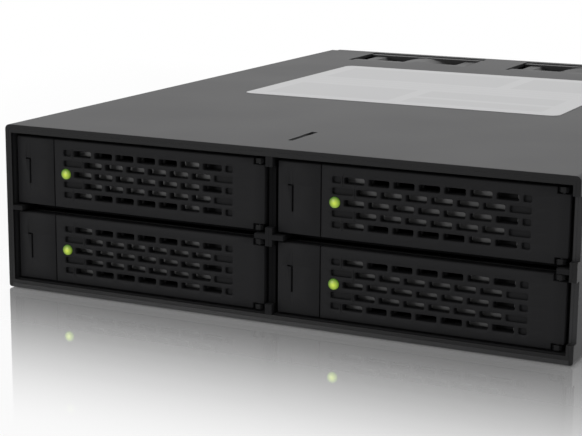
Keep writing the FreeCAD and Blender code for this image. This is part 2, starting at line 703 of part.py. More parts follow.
def port_shell(x, z, w, h):
    """One socket housing with a hollow mouth and a contact tongue."""
    y0 = PORT_BOARD_Y + BOARD_T
    y1 = REAR_Y + SHEET + PORT_PROUD
    body = block(x - w / 2, x + w / 2, y0, y1, z - h / 2, z + h / 2)
    a, b = w / 2 - PORT_WALL, h / 2 - PORT_WALL
    mouth = block(x - a, x + a, y1 - PORT_DEEP, y1 + 1, z - b, z + b)
    if w > h:
        tongue = block(x - a + 1, x + a - 1, y1 - PORT_DEEP - 0.5, y1 - 1, z - 0.6, z + 0.6)
    else:
        tongue = block(x - 0.6, x + 0.6, y1 - PORT_DEEP - 0.5, y1 - 1, z - b + 1, z + b - 1)
    return join([body.cut(mouth), tongue])


def port_board():
    """Upright board behind the rear panel that carries the ports."""
    return block(PORT_LEFT, PORT_RIGHT, PORT_BOARD_Y, PORT_BOARD_Y + BOARD_T, SHEET + 0.5, INNER_TOP - 0.5)


def link_headers():
    """Edge sockets on the backplane and the port board that hold the link board."""
    half_w, half_h = LINK_W / 2 + 1, LINK_HEADER_H / 2
    slot = block(
        PORT_X - LINK_W / 2, PORT_X + LINK_W / 2, BOARD_BACK + 1, PORT_BOARD_Y - 1,
        LINK_Z - BOARD_T / 2, LINK_Z + BOARD_T / 2,
    )
    found = []
    for y0, y1 in ((BOARD_BACK, BOARD_BACK + LINK_HEADER_L), (PORT_BOARD_Y - LINK_HEADER_L, PORT_BOARD_Y)):
        body = block(PORT_X - half_w, PORT_X + half_w, y0, y1, LINK_Z - half_h, LINK_Z + half_h)
        found.append(body.cut(slot))
    return found


def link_board():
    """Level board that joins the backplane to the port board."""
    return block(
        PORT_X - LINK_W / 2, PORT_X + LINK_W / 2, BOARD_BACK + 1, PORT_BOARD_Y - 1,
        LINK_Z - BOARD_T / 2, LINK_Z + BOARD_T / 2,
    )


# Fans ---------------------------------------------------------------------------------------------


def fan_corners(x):
    """The corner boss axes of one fan. The first and last are the two that take screws."""
    reach = FAN_HOLE_REACH
    return [(x + a, FAN_Z + b) for a in (-reach, reach) for b in (-reach, reach)]


def fan_frame(x):
    """Square fan frame: two flanges, a round barrel, corner bosses, and the motor seat on struts."""
    half = FAN_SIZE / 2
    low, top = FAN_Z - half, FAN_Z + half
    barrel = prism(Y_AXIS, FAN_BARREL_R, FAN_L, V(x, FAN_FRONT, FAN_Z), BORE_SIDES)
    pieces = [barrel]
    pieces.append(block(x - half, x + half, FAN_FRONT, FAN_FRONT + FAN_FLANGE, low, top))
    pieces.append(block(x - half, x + half, FAN_BACK - FAN_FLANGE, FAN_BACK, low, top))
    for cx, cz in fan_corners(x):
        half_boss = FAN_BOSS / 2
        boss = block(cx - half_boss, cx + half_boss, FAN_FRONT, FAN_BACK, cz - half_boss, cz + half_boss)
        pieces.append(boss.makeChamfer(FAN_BOSS / 4, edges_along(boss, Y_AXIS, lambda p: True)))
    bore = prism(Y_AXIS, FAN_BORE_R, FAN_L + 2, V(x, FAN_FRONT - 1, FAN_Z), BORE_SIDES)
    frame = cut(join(pieces), [bore] + fan_screws(x))
    seat_y = FAN_BACK - STRUT_T
    seat = [prism(Y_AXIS, HUB_R, STRUT_T, V(x, seat_y, FAN_Z), BORE_SIDES)]
    reach = FAN_BORE_R + 0.5
    for n in range(STRUTS):
        strut = block(x, x + reach, seat_y, FAN_BACK, FAN_Z - STRUT_W / 2, FAN_Z + STRUT_W / 2)
        strut.rotate(V(x, 0, FAN_Z), Y_AXIS, 45 + 360.0 * n / STRUTS)
        seat.append(strut)
    seat.append(prism(Y_AXIS, BUSH_R, HUB_L - STRUT_T, V(x, FAN_BACK - HUB_L, FAN_Z), HUB_SIDES))
    bush_bore = rod(Y_AXIS, SHAFT_R + SHAFT_CLEAR, HUB_L, V(x, FAN_BACK - HUB_L - 1, FAN_Z))
    return join([frame] + seat).cut(bush_bore)


def fan_blade(x, hub_front):
    """One pitched blade, a wedge from its root in the hub wall to its wider, thinner tip."""
    tip = FAN_BORE_R - TIP_CLEAR
    blade = Part.makeWedge(
        -BLADE_ROOT_L / 2, HUB_R - HUB_WALL / 2, -BLADE_ROOT_T / 2, -BLADE_TIP_T / 2, -BLADE_TIP_L / 2,
        BLADE_ROOT_L / 2, tip + BLADE_TIP_T, BLADE_ROOT_T / 2, BLADE_TIP_T / 2, BLADE_TIP_L / 2,
    )
    blade.rotate(V(0, 0, 0), X_AXIS, 90)
    blade.rotate(V(0, 0, 0), Z_AXIS, 90 - BLADE_PITCH)
    blade.translate(V(0, hub_front + BLADE_START + BLADE_TIP_L / 2, 0))
    blade = blade.common(prism(Y_AXIS, tip, HUB_L + 2, V(0, hub_front - 1, 0), BORE_SIDES))
    blade.translate(V(x, 0, FAN_Z))
    return blade


def fan_rotor(x):
    """Cup hub with its shaft and a ring of pitched blades."""
    front = FAN_FRONT + CUP_INSET
    length = FAN_BACK - STRUT_T - ROTOR_GAP - front
    cup = prism(Y_AXIS, HUB_R, length, V(x, front, FAN_Z), BORE_SIDES)
    inside = prism(Y_AXIS, HUB_R - HUB_WALL, length, V(x, front + HUB_WALL, FAN_Z), HUB_SIDES)
    pieces = [cup.cut(inside), rod(Y_AXIS, SHAFT_R, length, V(x, front, FAN_Z))]
    for n in range(BLADES):
        blade = fan_blade(x, front)
        blade.rotate(V(x, 0, FAN_Z), Y_AXIS, 360.0 * n / BLADES)
        pieces.append(blade)
    return join(pieces)


def fan_screws(x):
    """Two screws through the rear panel into opposite corners of one fan."""
    found = []
    outside = REAR_Y + SHEET
    corners = fan_corners(x)
    for cx, cz in (corners[0], corners[-1]):
        shank = prism(-Y_AXIS, FAN_SCREW_R, FAN_SCREW_L, V(cx, outside, cz))
        found.append(join([shank, prism(Y_AXIS, FAN_SCREW_HEAD_R, FAN_SCREW_HEAD_H, V(cx, outside, cz))]))
    return found


def all_fan_screws():
    """The screws of both fans."""
    return [screw for x in FANS.values() for screw in fan_screws(x)]


# All nodes ----------------------------------------------------------------------------------------


def save_trays():
    """Write the pieces of all four trays, each moved to its bay."""
    makers = {
        "tray_pan": tray_pan,
        "tray_front": tray_front,
        "lever": lever,
        "lamp_lens": lamp_lens,
        "hinge_pin": hinge_pin,
        "eject_button": eject_button,
        "button_spring": button_spring,
        "light_pipe": light_pipe,
    }
    for piece, make in makers.items():
        master = make()
        for bay, (x, z) in BAYS.items():
            placed = master.copy()
            placed.translate(V(x, 0, z))
            save(f"{bay}_{piece}", [placed])


def save_cage():
    """Write the housing, the backplane, the ports and the fans."""
    save("roof_cover", [roof_cover()])
    save("base_pan", [base_pan()])
    save("front_bezel", [front_bezel()])
    save("centre_wall", centre_wall())
    save("left_shelf", [bay_shelf(-1)])
    save("right_shelf", [bay_shelf(1)])
    save("rear_panel", [rear_panel()])
    save("backplane_board", [backplane_board()])
    save("drive_sockets", [drive_socket(x, z) for x, z in BAYS.values()])
    save("fan_headers", [fan_header(x) for x in FANS.values()])
    save("link_board", [link_board()])
    save("link_headers", link_headers())
    save("port_board", [port_board()])
    save("data_ports", [port_shell(*port) for port in ports()[:DATA_PORTS]])
    save("power_ports", [port_shell(*port) for port in ports()[DATA_PORTS:]])
    save("fan_screws", all_fan_screws())
    for side, x in FANS.items():
        save(f"{side}_fan_frame", [fan_frame(x)])
        save(f"{side}_fan_rotor", [fan_rotor(x)])


os.makedirs("parts", exist_ok=True)
save_cage()
save_trays()
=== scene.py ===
"""Dressed scene of a hot swap drive cage: sheet housing, four lever trays, backplane and two fans.

Sizes in the classes are millimetres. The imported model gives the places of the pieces, and MM turns
millimetres into its metres.
"""

from __future__ import annotations

import logging
import math
from abc import ABC, abstractmethod
from collections.abc import Callable, Iterable
from dataclasses import dataclass, field
from enum import Enum
from typing import Any, NamedTuple

import bmesh
import bpy
from bmesh.types import BMEdge, BMesh, BMFace, BMVert
from bpy.types import ID, Material, Mesh, NodeSocket, NodeTree, Object
from mathutils import Matrix, Vector


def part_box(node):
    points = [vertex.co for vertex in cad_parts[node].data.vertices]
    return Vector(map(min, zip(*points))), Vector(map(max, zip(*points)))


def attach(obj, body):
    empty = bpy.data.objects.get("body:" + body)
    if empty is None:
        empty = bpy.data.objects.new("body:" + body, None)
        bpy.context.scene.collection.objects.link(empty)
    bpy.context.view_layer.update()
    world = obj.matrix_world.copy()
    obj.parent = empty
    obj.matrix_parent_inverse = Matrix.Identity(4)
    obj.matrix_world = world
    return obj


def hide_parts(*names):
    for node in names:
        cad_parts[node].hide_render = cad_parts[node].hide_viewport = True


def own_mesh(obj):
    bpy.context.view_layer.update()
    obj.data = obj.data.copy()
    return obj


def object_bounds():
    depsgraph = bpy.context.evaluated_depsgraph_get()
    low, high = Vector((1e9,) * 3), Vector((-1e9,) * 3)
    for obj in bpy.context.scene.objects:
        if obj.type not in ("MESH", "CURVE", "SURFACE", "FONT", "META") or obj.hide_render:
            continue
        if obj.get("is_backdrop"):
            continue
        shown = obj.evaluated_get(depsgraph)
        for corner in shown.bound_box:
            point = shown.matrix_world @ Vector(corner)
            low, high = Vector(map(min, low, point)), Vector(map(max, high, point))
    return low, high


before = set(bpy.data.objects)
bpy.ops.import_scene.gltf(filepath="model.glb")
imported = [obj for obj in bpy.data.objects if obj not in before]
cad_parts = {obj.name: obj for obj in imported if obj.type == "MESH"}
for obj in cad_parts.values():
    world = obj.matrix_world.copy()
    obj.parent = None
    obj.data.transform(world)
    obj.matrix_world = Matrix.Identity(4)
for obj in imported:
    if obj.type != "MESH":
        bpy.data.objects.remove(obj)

LOG = logging.getLogger("drive_cage")
MM = 0.001
BAYS = ("upper_left", "upper_right", "lower_left", "lower_right")
FAN_SIDES = ("left", "right")

Triple = tuple[float, float, float]
Quad = tuple[float, float, float, float]

# Most noise lies between these two values.
NOISE_LOW = 0.3
NOISE_HIGH = 0.7

# Sockets of the Mix node that carry colours.
FIRST = 6
SECOND = 7
MIXED = 2

# Points this near to each other are one point, and a point this near to a place is on it.
SAME_POINT = 0.0005
SAME_PLACE = 0.002

# Cosines above which an edge runs along an axis and a face is square to one.
ALONG = 0.999
SQUARE = 0.9999

# Edges at a wider angle than these, in radians, take a bevel and are shaded sharp.
BEVEL_ANGLE = 0.9
SHADE_ANGLE = math.radians(50)


# Shader helpers -------------------------------------------


def linear(colour: str) -> Quad:
    """Turn an sRGB hex colour into linear light, by the curve of the sRGB standard.

    Args:
        colour: Six hex digits, such as "1c1c1e".

    Returns:
        Red, green, blue and an alpha of 1.
    """
    parts = [int(colour[i : i + 2], 16) / 255 for i in (0, 2, 4)]
    red, green, blue = (c / 12.92 if c <= 0.04045 else ((c + 0.055) / 1.055) ** 2.4 for c in parts)
    return red, green, blue, 1.0


def add_node(
    tree: NodeTree, kind: str, inputs: dict[str | int, Any] | None = None,
    out: str | int = 0, **settings: Any,
) -> NodeSocket | None:
    """Add a node, set its properties, and set or link its inputs.

    Args:
        tree: Node tree that takes the node.
        kind: Node type without its "ShaderNode" prefix.
        inputs: Values, or sockets to link from, by input name or number.
        out: Name or number of the output that is used.
        **settings: Properties of the node.

    Returns:
        That output, or None where the node has none.
    """
    node = tree.nodes.new(f"ShaderNode{kind}")
    for name, value in settings.items():
        setattr(node, name, value)
    for key, value in (inputs or {}).items():
        if isinstance(value, NodeSocket):
            tree.links.new(value, node.inputs[key])
        else:
            node.inputs[key].default_value = value
    return node.outputs[out] if node.outputs else None


def new_material(name: str) -> tuple[Material, NodeTree]:
    """Start a material.

    Args:
        name: Name of the material.

    Returns:
        The material and its empty node tree.
    """
    material = bpy.data.materials.new(name)
    material.use_nodes = True
    material.node_tree.nodes.clear()
    return material, material.node_tree


def grain(
    tree: NodeTree, size: float, detail: float = 2.0, stretch: Triple = (1.0, 1.0, 1.0)
) -> NodeSocket:
    """Noise on Object coordinates whose lumps are about a given size.

    Args:
        tree: Node tree that takes the nodes.
        size: Distance between lumps.
        detail: Octaves of finer noise.
        stretch: Share of that distance by axis, low where the lumps are drawn out to lines.

    Returns:
        The noise value, around 0.5.
    """
    place = add_node(tree, "TexCoord", out="Object")
    drawn = add_node(tree, "Mapping", {"Vector": place, "Scale": stretch})
    return add_node(tree, "TexNoise", {"Vector": drawn, "Scale": 1 / (size * MM), "Detail": detail})


def drift(
    tree: NodeTree, size: float, middle: float, swing: float
) -> NodeSocket:
    """Value that wanders slowly over the surface.

    Args:
        tree: Node tree that takes the nodes.
        size: Distance over which it wanders.
        middle: Value that it wanders about.
        swing: How far it goes to each side.

    Returns:
        The value.
    """
    noise = {"Value": grain(tree, size), "From Min": NOISE_LOW, "From Max": NOISE_HIGH}
    return add_node(tree, "MapRange", {**noise, "To Min": middle - swing, "To Max": middle + swing})


def relief(
    tree: NodeTree, height: NodeSocket, depth: float, edge: float = 0.0
) -> NodeSocket:
    """Normal of a fine relief, on edges that look slightly rounded.

    Args:
        tree: Node tree that takes the nodes.
        height: Height of the relief, from 0 to 1.
        depth: Distance between its lowest and highest points.
        edge: Radius of the edges, or 0 to leave them sharp.

    Returns:
        The normal.
    """
    inputs = {"Height": height, "Distance": depth * MM}
    if edge:
        inputs["Normal"] = add_node(tree, "Bevel", {"Radius": edge * MM}, samples=4)
    return add_node(tree, "Bump", inputs)


# Finishes -------------------------------------------------


@dataclass(frozen=True)
class Surface(ABC):
    """Finish of one principled shader: a shade, a roughness that wanders and a fine relief.

    The roughness goes to each side by swing over the distance of cloud. The relief has a depth, and
    its edges look rounded by the radius edge.
    """

    name: str
    colour: str
    roughness: float
    swing: float = 0.0
    cloud: float = 1.0
    depth: float = 0.003
    edge: float = 0.0

    @abstractmethod
    def height(self, tree: NodeTree) -> NodeSocket:
        """Height of the relief, from 0 to 1."""

    def shade(self, tree: NodeTree) -> Any:
        """Colour of the surface, or a socket that gives it."""
        return linear(self.colour)

    def gloss(self, tree: NodeTree) -> dict[str, Any]:
        """Further inputs of the shader, by name."""
        return {}

    def material(self) -> Material:
        """Build the finish.

        Returns:
            The material.
        """
        material, tree = new_material(self.name)
        wanders = self.swing > 0
        inputs = {
            "Base Color": self.shade(tree),
            "Roughness": drift(tree, self.cloud, self.roughness, self.swing) if wanders else self.roughness,
            "Normal": relief(tree, self.height(tree), self.depth, self.edge),
            **self.gloss(tree),
        }
        add_node(tree, "OutputMaterial", {"Surface": add_node(tree, "BsdfPrincipled", inputs)})
        return material


@dataclass(frozen=True)
class PowderCoat(Surface):
    """Black polyester powder baked on steel: a satin skin with a faint orange peel.

    Behind the lips of the cage's front the coat may take another colour, which is painted light and
    shade: on the housing the front lips carry painted shade and the faces behind them a lighter painted
    sheen, and on the inner walls the recess behind the lips carries darker painted shade.
    """

    swing: float = 0.015
    cloud: float = 38.0
    depth: float = 0.004
    edge: float = 0.25
    peel: float = 0.9
    specular: float = 0.12
    # Colour behind the lips, or None: painted light and shade, which takes over from the front's colour at
    # lip and over lip_fade.
    inside: str | None = None
    lip: float = 0.8
    lip_fade: float = 1.0

    def height(self, tree: NodeTree) -> NodeSocket:
        """Height of the orange peel."""
        return grain(tree, self.peel)

    def gloss(self, tree: NodeTree) -> dict[str, Any]:
        """Weak gloss of the powder."""
        return {"Specular IOR Level": self.specular}

    def shade(self, tree: NodeTree) -> Any:
        """Colour of the coat, with the painted light and shade that changes it behind the lips.

        Args:
            tree: Node tree that takes the nodes.

        Returns:
            The colour, or a socket that gives it.
        """
        front = linear(self.colour)
        if not self.inside:
            return front
        place = add_node(tree, "TexCoord", out="Object")
        depth = add_node(tree, "SeparateXYZ", {"Vector": place}, "Y")
        start = (node_limits("front_bezel")[0].y + self.lip) * MM
        limits = {"From Min": start, "From Max": start + self.lip_fade * MM}
        deep = add_node(tree, "MapRange", {"Value": depth, **limits})
        # Painted light and shade: one coat in two colours, split at the lips by how light falls on them.
        shades = {FIRST: front, SECOND: linear(self.inside)}
        return add_node(tree, "Mix", {"Factor": deep, **shades}, MIXED, data_type="RGBA")


@dataclass(frozen=True)
class PlatedMetal(Surface):
    """Plated or bare metal: drawn or rolled grain along one axis over a soft cloudy plating."""

    swing: float = 0.06
    cloud: float = 6.0
    depth: float = 0.002
    edge: float = 0.15
    line: float = 0.35
    stretch: Triple = (1.0, 0.08, 1.0)
    metallic: float = 1.0

    def height(self, tree: NodeTree) -> NodeSocket:
        """Height of the drawn or rolled lines."""
        return grain(tree, self.line, stretch=self.stretch)

    def gloss(self, tree: NodeTree) -> dict[str, Any]:
        """How far the plating shines as bare metal does."""
        return {"Metallic": self.metallic}


@dataclass(frozen=True)
class MouldedPlastic(Surface):
    """Injection moulded thermoplastic: an even spark-eroded texture with slightly polished edges."""

    swing: float = 0.05
    cloud: float = 12.0
    depth: float = 0.003
    edge: float = 0.2
    texture: float = 0.25
    texture_detail: float = 3.0
    specular: float = 0.35

    def height(self, tree: NodeTree) -> NodeSocket:
        """Height of the mould's texture."""
        return grain(tree, self.texture, self.texture_detail)

    def gloss(self, tree: NodeTree) -> dict[str, Any]:
        """Weak gloss of the plastic."""
        return {"Specular IOR Level": self.specular}


@dataclass(frozen=True)
class BoardLaminate(Surface):
    """Glass epoxy board under green solder mask: raised copper tracks show as lighter lines."""

    name: str = "circuit_board_green_mask"
    colour: str = "123a24"
    roughness: float = 0.3
    depth: float = 0.02
    track: str = "1c5434"
    patch: float = 4.8
    tracks: float = 9.0
    gap_share: float = 0.62

    def height(self, tree: NodeTree) -> NodeSocket:
        """Height of the copper, in bands round square patches of the board.

        Args:
            tree: Node tree that takes the nodes.

        Returns:
            1 on a track and 0 beside it.
        """
        place = add_node(tree, "TexCoord", out="Object")
        patches = {"Vector": place, "Scale": 1 / (self.patch * MM)}
        cells = add_node(tree, "TexVoronoi", patches, distance="MANHATTAN", feature="F1")
        waves = add_node(tree, "Math", {0: cells, 1: self.tracks}, operation="MULTIPLY")
        band = add_node(tree, "Math", {0: waves}, operation="FRACT")
        return add_node(tree, "Math", {0: band, 1: self.gap_share}, operation="GREATER_THAN")

    def shade(self, tree: NodeTree) -> NodeSocket:
        """Colour of the mask, paler where copper lies under it."""
        shades = {"Factor": self.height(tree), FIRST: linear(self.colour), SECOND: linear(self.track)}
        return add_node(tree, "Mix", shades, MIXED, data_type="RGBA")


@dataclass(frozen=True)
class ClearGuide(Surface):
    """Moulded clear acrylic: light runs down it and its faces show faint flow lines."""

    name: str = "acrylic_light_guide_moulded"
    colour: str = "eef4ee"
    roughness: float = 0.12
    depth: float = 0.004
    flow: float = 1.5
    ior: float = 1.49
    clearness: float = 0.9

    def height(self, tree: NodeTree) -> NodeSocket:
        """Height of the flow lines."""
        return grain(tree, self.flow)

    def gloss(self, tree: NodeTree) -> dict[str, Any]:
        """Clearness of the acrylic."""
        return {"IOR": self.ior, "Transmission Weight": self.clearness}


@dataclass(frozen=True)
class LitLens(Surface):
    """Diffusing green lens with a lamp behind: hot near the middle, deep green at the rim.

    The lens mesh carries "reach", which goes from 0 in the hot spot to 1 at the rim of the dome and
    to 2 at the rim of the flange. The flange has the lever face's colour, and the glow that fades out
    over it is painted light: a halo of the lamp's light spilling onto the face round the lens.
    """

    name: str = "polycarbonate_lens_lit"
    colour: str = "2f4008"
    roughness: float = 0.3
    depth: float = 0.01
    # The flange has the lever face's colour and carries the painted glow halo.
    flange: str = "1e1e1f"
    heart: str = "e9ff50"
    rim: str = "3c6a08"
    # Painted glow at the outer rim of the flange, where the halo ends.
    painted_halo_rim: str = "000000"
    strength: float = 0.7
    ripple: float = 0.3

    def height(self, tree: NodeTree) -> NodeSocket:
        """Height of the diffusing ripple."""
        return grain(tree, self.ripple)

    def on_flange(self, tree: NodeTree, dome: Any, flange: str) -> NodeSocket:
        """Colour that goes from the dome's to the flange's.

        Args:
            tree: Node tree that takes the nodes.
            dome: Colour of the dome, or a socket that gives it.
            flange: Colour at the rim of the flange.

        Returns:
            The colour.
        """
        reach = add_node(tree, "Attribute", out="Fac", attribute_name="reach")
        outer = add_node(tree, "Math", {0: reach, 1: 1.0}, operation="SUBTRACT", use_clamp=True)
        shades = {"Factor": outer, FIRST: dome, SECOND: linear(flange)}
        return add_node(tree, "Mix", shades, MIXED, data_type="RGBA")

    def shade(self, tree: NodeTree) -> NodeSocket:
        """Colour of the lens and its flange."""
        return self.on_flange(tree, linear(self.colour), self.flange)

    def gloss(self, tree: NodeTree) -> dict[str, Any]:
        """Light of the lamp behind the dome, and the painted glow halo that fades out over the flange.

        Args:
            tree: Node tree that takes the nodes.

        Returns:
            The shader's inputs for light, by name.
        """
        reach = add_node(tree, "Attribute", out="Fac", attribute_name="reach")
        shades = {"Factor": reach, FIRST: linear(self.heart), SECOND: linear(self.rim)}
        lit = add_node(tree, "Mix", shades, MIXED, data_type="RGBA")
        glow = self.on_flange(tree, lit, self.painted_halo_rim)
        return {"Emission Color": glow, "Emission Strength": self.strength}


@dataclass(frozen=True)
class PrintedFilm(Surface):
    """Matt polyester label film with a faint ink mottle, in one shade."""

    roughness: float = 0.42
    mottle: str = "a2a2a3"
    mottle_size: float = 14.0
    mottle_share: float = 0.06
    ink: float = 0.5

    def height(self, tree: NodeTree) -> NodeSocket:
        """Height of the ink."""
        return grain(tree, self.ink)

    def shade(self, tree: NodeTree) -> NodeSocket:
        """Colour of the film with its mottle.

        Args:
            tree: Node tree that takes the nodes.

        Returns:
            A socket that gives the colour.
        """
        share = drift(tree, self.mottle_size, self.mottle_share, self.mottle_share)
        shades = {"Factor": share, FIRST: linear(self.colour), SECOND: linear(self.mottle)}
        return add_node(tree, "Mix", shades, MIXED, data_type="RGBA")


class Finish(Enum):
    """Every finish of the cage."""

    # Painted light and shade: the front lips are painted darker, for their shade, and the roof and sides
    # behind them lighter, for the roof's sheen.
    HOUSING = PowderCoat(
        "powder_coat_black_satin", "0c0c0d", 0.46, specular=0.17, inside="262627", lip=0.2
    )
    BASE = PowderCoat("powder_coat_black_base", "1c1c1d", 0.46, specular=0.25)
    # Painted shade: the inner walls are painted darker behind their front lips, where the recess lies in
    # shade.
    INNER = PowderCoat("powder_coat_black_inside", "1a1a1b", 0.78, specular=0.08, inside="060607")
    FACE = PowderCoat(
        "baked_enamel_black_levers", "1e1e1f", 0.5, depth=0.003, edge=0.0, peel=0.6, specular=0.06
    )
    PAN = PowderCoat("powder_coat_black_tray", "111112", 0.55)
    SHIELD = PlatedMetal("zinc_sheet_pierced", "646464", 0.5, stretch=(0.1, 1.0, 1.0), metallic=0.15)
    PIN = PlatedMetal("steel_pin_black_oxide", "222224", 0.42, stretch=(1.0, 1.0, 0.05), metallic=0.6)
    SPRING = PlatedMetal("spring_steel_rolled", "9a9b9c", 0.3)
    GOLD = PlatedMetal("gold_flash_contacts", "d9b35a", 0.25)
    SCREW = PlatedMetal("black_zinc_screw_tumbled", "1f1f21", 0.38, metallic=0.6)
    FAN = MouldedPlastic("glass_filled_pbt_fan_moulded", "141415", 0.48)
    CONNECTOR = MouldedPlastic("lcp_connector_moulded", "121213", 0.42)
    CHIP = MouldedPlastic("epoxy_chip_transfer_moulded", "1c1c1e", 0.6)
    CERAMIC = MouldedPlastic("ceramic_capacitor_fired", "a98a66", 0.5)
    BOARD = BoardLaminate()
    GUIDE = ClearGuide()
    LENS = LitLens()
    LABEL = PrintedFilm("polyester_film_label", "b0b0b1")
    LABEL_FIELD = PrintedFilm("polyester_film_label_field", "a8a8a9")
    STICKER = PrintedFilm("polyester_film_fan_seal", "b4b6b8")

    def material(self) -> Material:
        """The finish's material, built the first time it is asked for."""
        return bpy.data.materials.get(self.value.name) or self.value.material()


# Mesh helpers ---------------------------------------------


class Rect(NamedTuple):
    """Limits of a flat area, in millimetres."""

    left: float
    right: float
    low: float
    high: float

    def holds(self, across: float, up: float) -> bool:
        """Whether a point is inside."""
        return self.left < across < self.right and self.low < up < self.high


def node_limits(node: str) -> tuple[Vector, Vector]:
    """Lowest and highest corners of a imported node, in millimetres."""
    low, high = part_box(node)
    return Vector(low) / MM, Vector(high) / MM


def node_middle(node: str) -> Vector:
    """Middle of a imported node, in millimetres."""
    low, high = node_limits(node)
    return (low + high) / 2


def move(mesh: BMesh, way: Iterable[float]) -> None:
    """Move a whole mesh."""
    bmesh.ops.translate(mesh, vec=way, verts=mesh.verts)


def quarter_turn(mesh: BMesh, axis: str, turns: int = 1) -> None:
    """Turn a mesh about an axis through the origin.

    Args:
        mesh: Mesh to turn.
        axis: Letter of the axis.
        turns: Number of quarter turns.
    """
    matrix = Matrix.Rotation(turns * math.pi / 2, 3, axis)
    bmesh.ops.rotate(mesh, cent=(0, 0, 0), matrix=matrix, verts=mesh.verts)


def sliced_sheet(outline: Rect, areas: Iterable[Rect]) -> BMesh:
    """Flat sheet in X and Z, facing -Y at Y = 0, cut along the limits of every area.

    Args:
        outline: Limits of the sheet.
        areas: Areas that later steps open, press or print.

    Returns:
        The sheet.
    """
    sheet = bmesh.new()
    bmesh.ops.create_grid(sheet, x_segments=1, y_segments=1, size=0.5)
    size = Vector((outline.right - outline.left, outline.high - outline.low, 1.0))
    middle = Vector(((outline.right + outline.left) / 2, 0.0, (outline.high + outline.low) / 2))
    bmesh.ops.scale(sheet, vec=size, verts=sheet.verts)
    quarter_turn(sheet, "X")
    move(sheet, middle)
    areas = list(areas)
    cuts = {(axis, round(limit, 4)) for area in areas for axis, limit in zip("xxzz", area)}
    for axis, limit in sorted(cuts):
        normal = (1, 0, 0) if axis == "x" else (0, 0, 1)
        point = [limit * n for n in normal]
        geom = sheet.verts[:] + sheet.edges[:] + sheet.faces[:]
        bmesh.ops.bisect_plane(sheet, geom=geom, plane_co=point, plane_no=normal)
    return sheet


def faces_in(sheet: BMesh, areas: Iterable[Rect]) -> list[BMFace]:
    """Faces at Y = 0 whose middle is inside an area.

    Args:
        sheet: Mesh to search.
        areas: Areas in X and Z.

    Returns:
        The faces.
    """
    found = []
    for face in sheet.faces:
        middle = face.calc_center_median()
        if abs(middle.y) < SAME_PLACE and any(area.holds(middle.x, middle.z) for area in areas):
            found.append(face)
    return found


def thicken(sheet: BMesh, vector: Triple) -> None:
    """Give a flat sheet its thickness and turn its faces outwards.

    Args:
        sheet: Sheet to thicken.
        vector: Offset of the copied side, in millimetres.
    """
    made = bmesh.ops.extrude_face_region(sheet, geom=sheet.faces[:], use_keep_orig=True)
    moved = [item for item in made["geom"] if isinstance(item, BMVert)]
    bmesh.ops.translate(sheet, vec=vector, verts=moved)
    bmesh.ops.recalc_face_normals(sheet, faces=sheet.faces)


def press(sheet: BMesh, areas: Iterable[Rect], depth: float) -> None:
    """Press areas of the front at Y = 0 back into the plate.

    Args:
        sheet: Plate that takes the pockets.
        areas: Areas in X and Z.
        depth: Depth of the pockets.
    """
    fronts = faces_in(sheet, areas)
    made = bmesh.ops.extrude_face_region(sheet, geom=fronts)
    moved = [item for item in made["geom"] if isinstance(item, BMVert)]
    bmesh.ops.delete(sheet, geom=[face for face in fronts if face.is_valid], context="FACES_ONLY")
    bmesh.ops.delete(sheet, geom=[edge for edge in sheet.edges if edge.is_wire], context="EDGES")
    bmesh.ops.translate(sheet, vec=(0, depth, 0), verts=moved)
    bmesh.ops.recalc_face_normals(sheet, faces=sheet.faces)


def merge_points(mesh: BMesh) -> None:
    """Merge points that lie on each other."""
    bmesh.ops.remove_doubles(mesh, verts=mesh.verts, dist=SAME_POINT)


def bevel(
    mesh: BMesh, geom: list[Any], width: float, segments: int, affect: str = "EDGES"
) -> None:
    """Bevel edges or corners evenly.

    Args:
        mesh: Mesh to bevel.
        geom: Its edges or corners that are bevelled.
        width: Width of the bevel.
        segments: Steps across it.
        affect: "EDGES" or "VERTICES".
    """
    bmesh.ops.bevel(
        mesh, geom=geom, offset=width, offset_type="OFFSET", affect=affect, segments=segments, profile=0.5,
        material=-1, clamp_overlap=True,
    )


def round_edges(
    mesh: BMesh, chosen: Callable[[BMEdge], bool], width: float, segments: int
) -> None:
    """Bevel the sharp edges that pass a test.

    Args:
        mesh: Mesh to bevel.
        chosen: Test of an edge.
        width: Width of the bevel.
        segments: Steps across it.
    """
    whole = [edge for edge in mesh.edges if len(edge.link_faces) == 2]
    sharp = [edge for edge in whole if edge.calc_face_angle() > BEVEL_ANGLE and chosen(edge)]
    bevel(mesh, sharp, width, segments)


def runs_along(edge: BMEdge, axis: int) -> bool:
    """Whether an edge is parallel to an axis."""
    span = edge.verts[1].co - edge.verts[0].co
    return abs(span[axis]) > ALONG * span.length


def lies_at(edge: BMEdge, axis: int, value: float) -> bool:
    """Whether both ends of an edge have one given coordinate."""
    return all(abs(vert.co[axis] - value) < SAME_PLACE for vert in edge.verts)


def block(low: Iterable[float], high: Iterable[float], width: float) -> BMesh:
    """Small moulded or stamped block with bevelled edges.

    Args:
        low: Lowest corner.
        high: Highest corner.
        width: Width of the bevel.

    Returns:
        The block.
    """
    low, high = Vector(low), Vector(high)
    mesh = bmesh.new()
    bmesh.ops.create_cube(mesh, size=1.0)
    bmesh.ops.scale(mesh, vec=high - low, verts=mesh.verts)
    move(mesh, (low + high) / 2)
    bevel(mesh, mesh.edges[:], width, 1)
    return mesh


def turned(profile: list[tuple[float, float]], steps: int) -> BMesh:
    """Solid of revolution around the Z axis.

    Args:
        profile: Radius and height of each point, from one pole to the other.
        steps: Faces around the axis.

    Returns:
        The solid.
    """
    mesh = bmesh.new()
    points = [mesh.verts.new((radius, 0, height)) for radius, height in profile]
    edges = [mesh.edges.new(pair) for pair in zip(points, points[1:])]
    bmesh.ops.spin(
        mesh, geom=points + edges, cent=(0, 0, 0), axis=(0, 0, 1), angle=math.tau, steps=steps,
        use_merge=True, use_duplicate=False,
    )
    merge_points(mesh)
    bmesh.ops.recalc_face_normals(mesh, faces=mesh.faces)
    return mesh


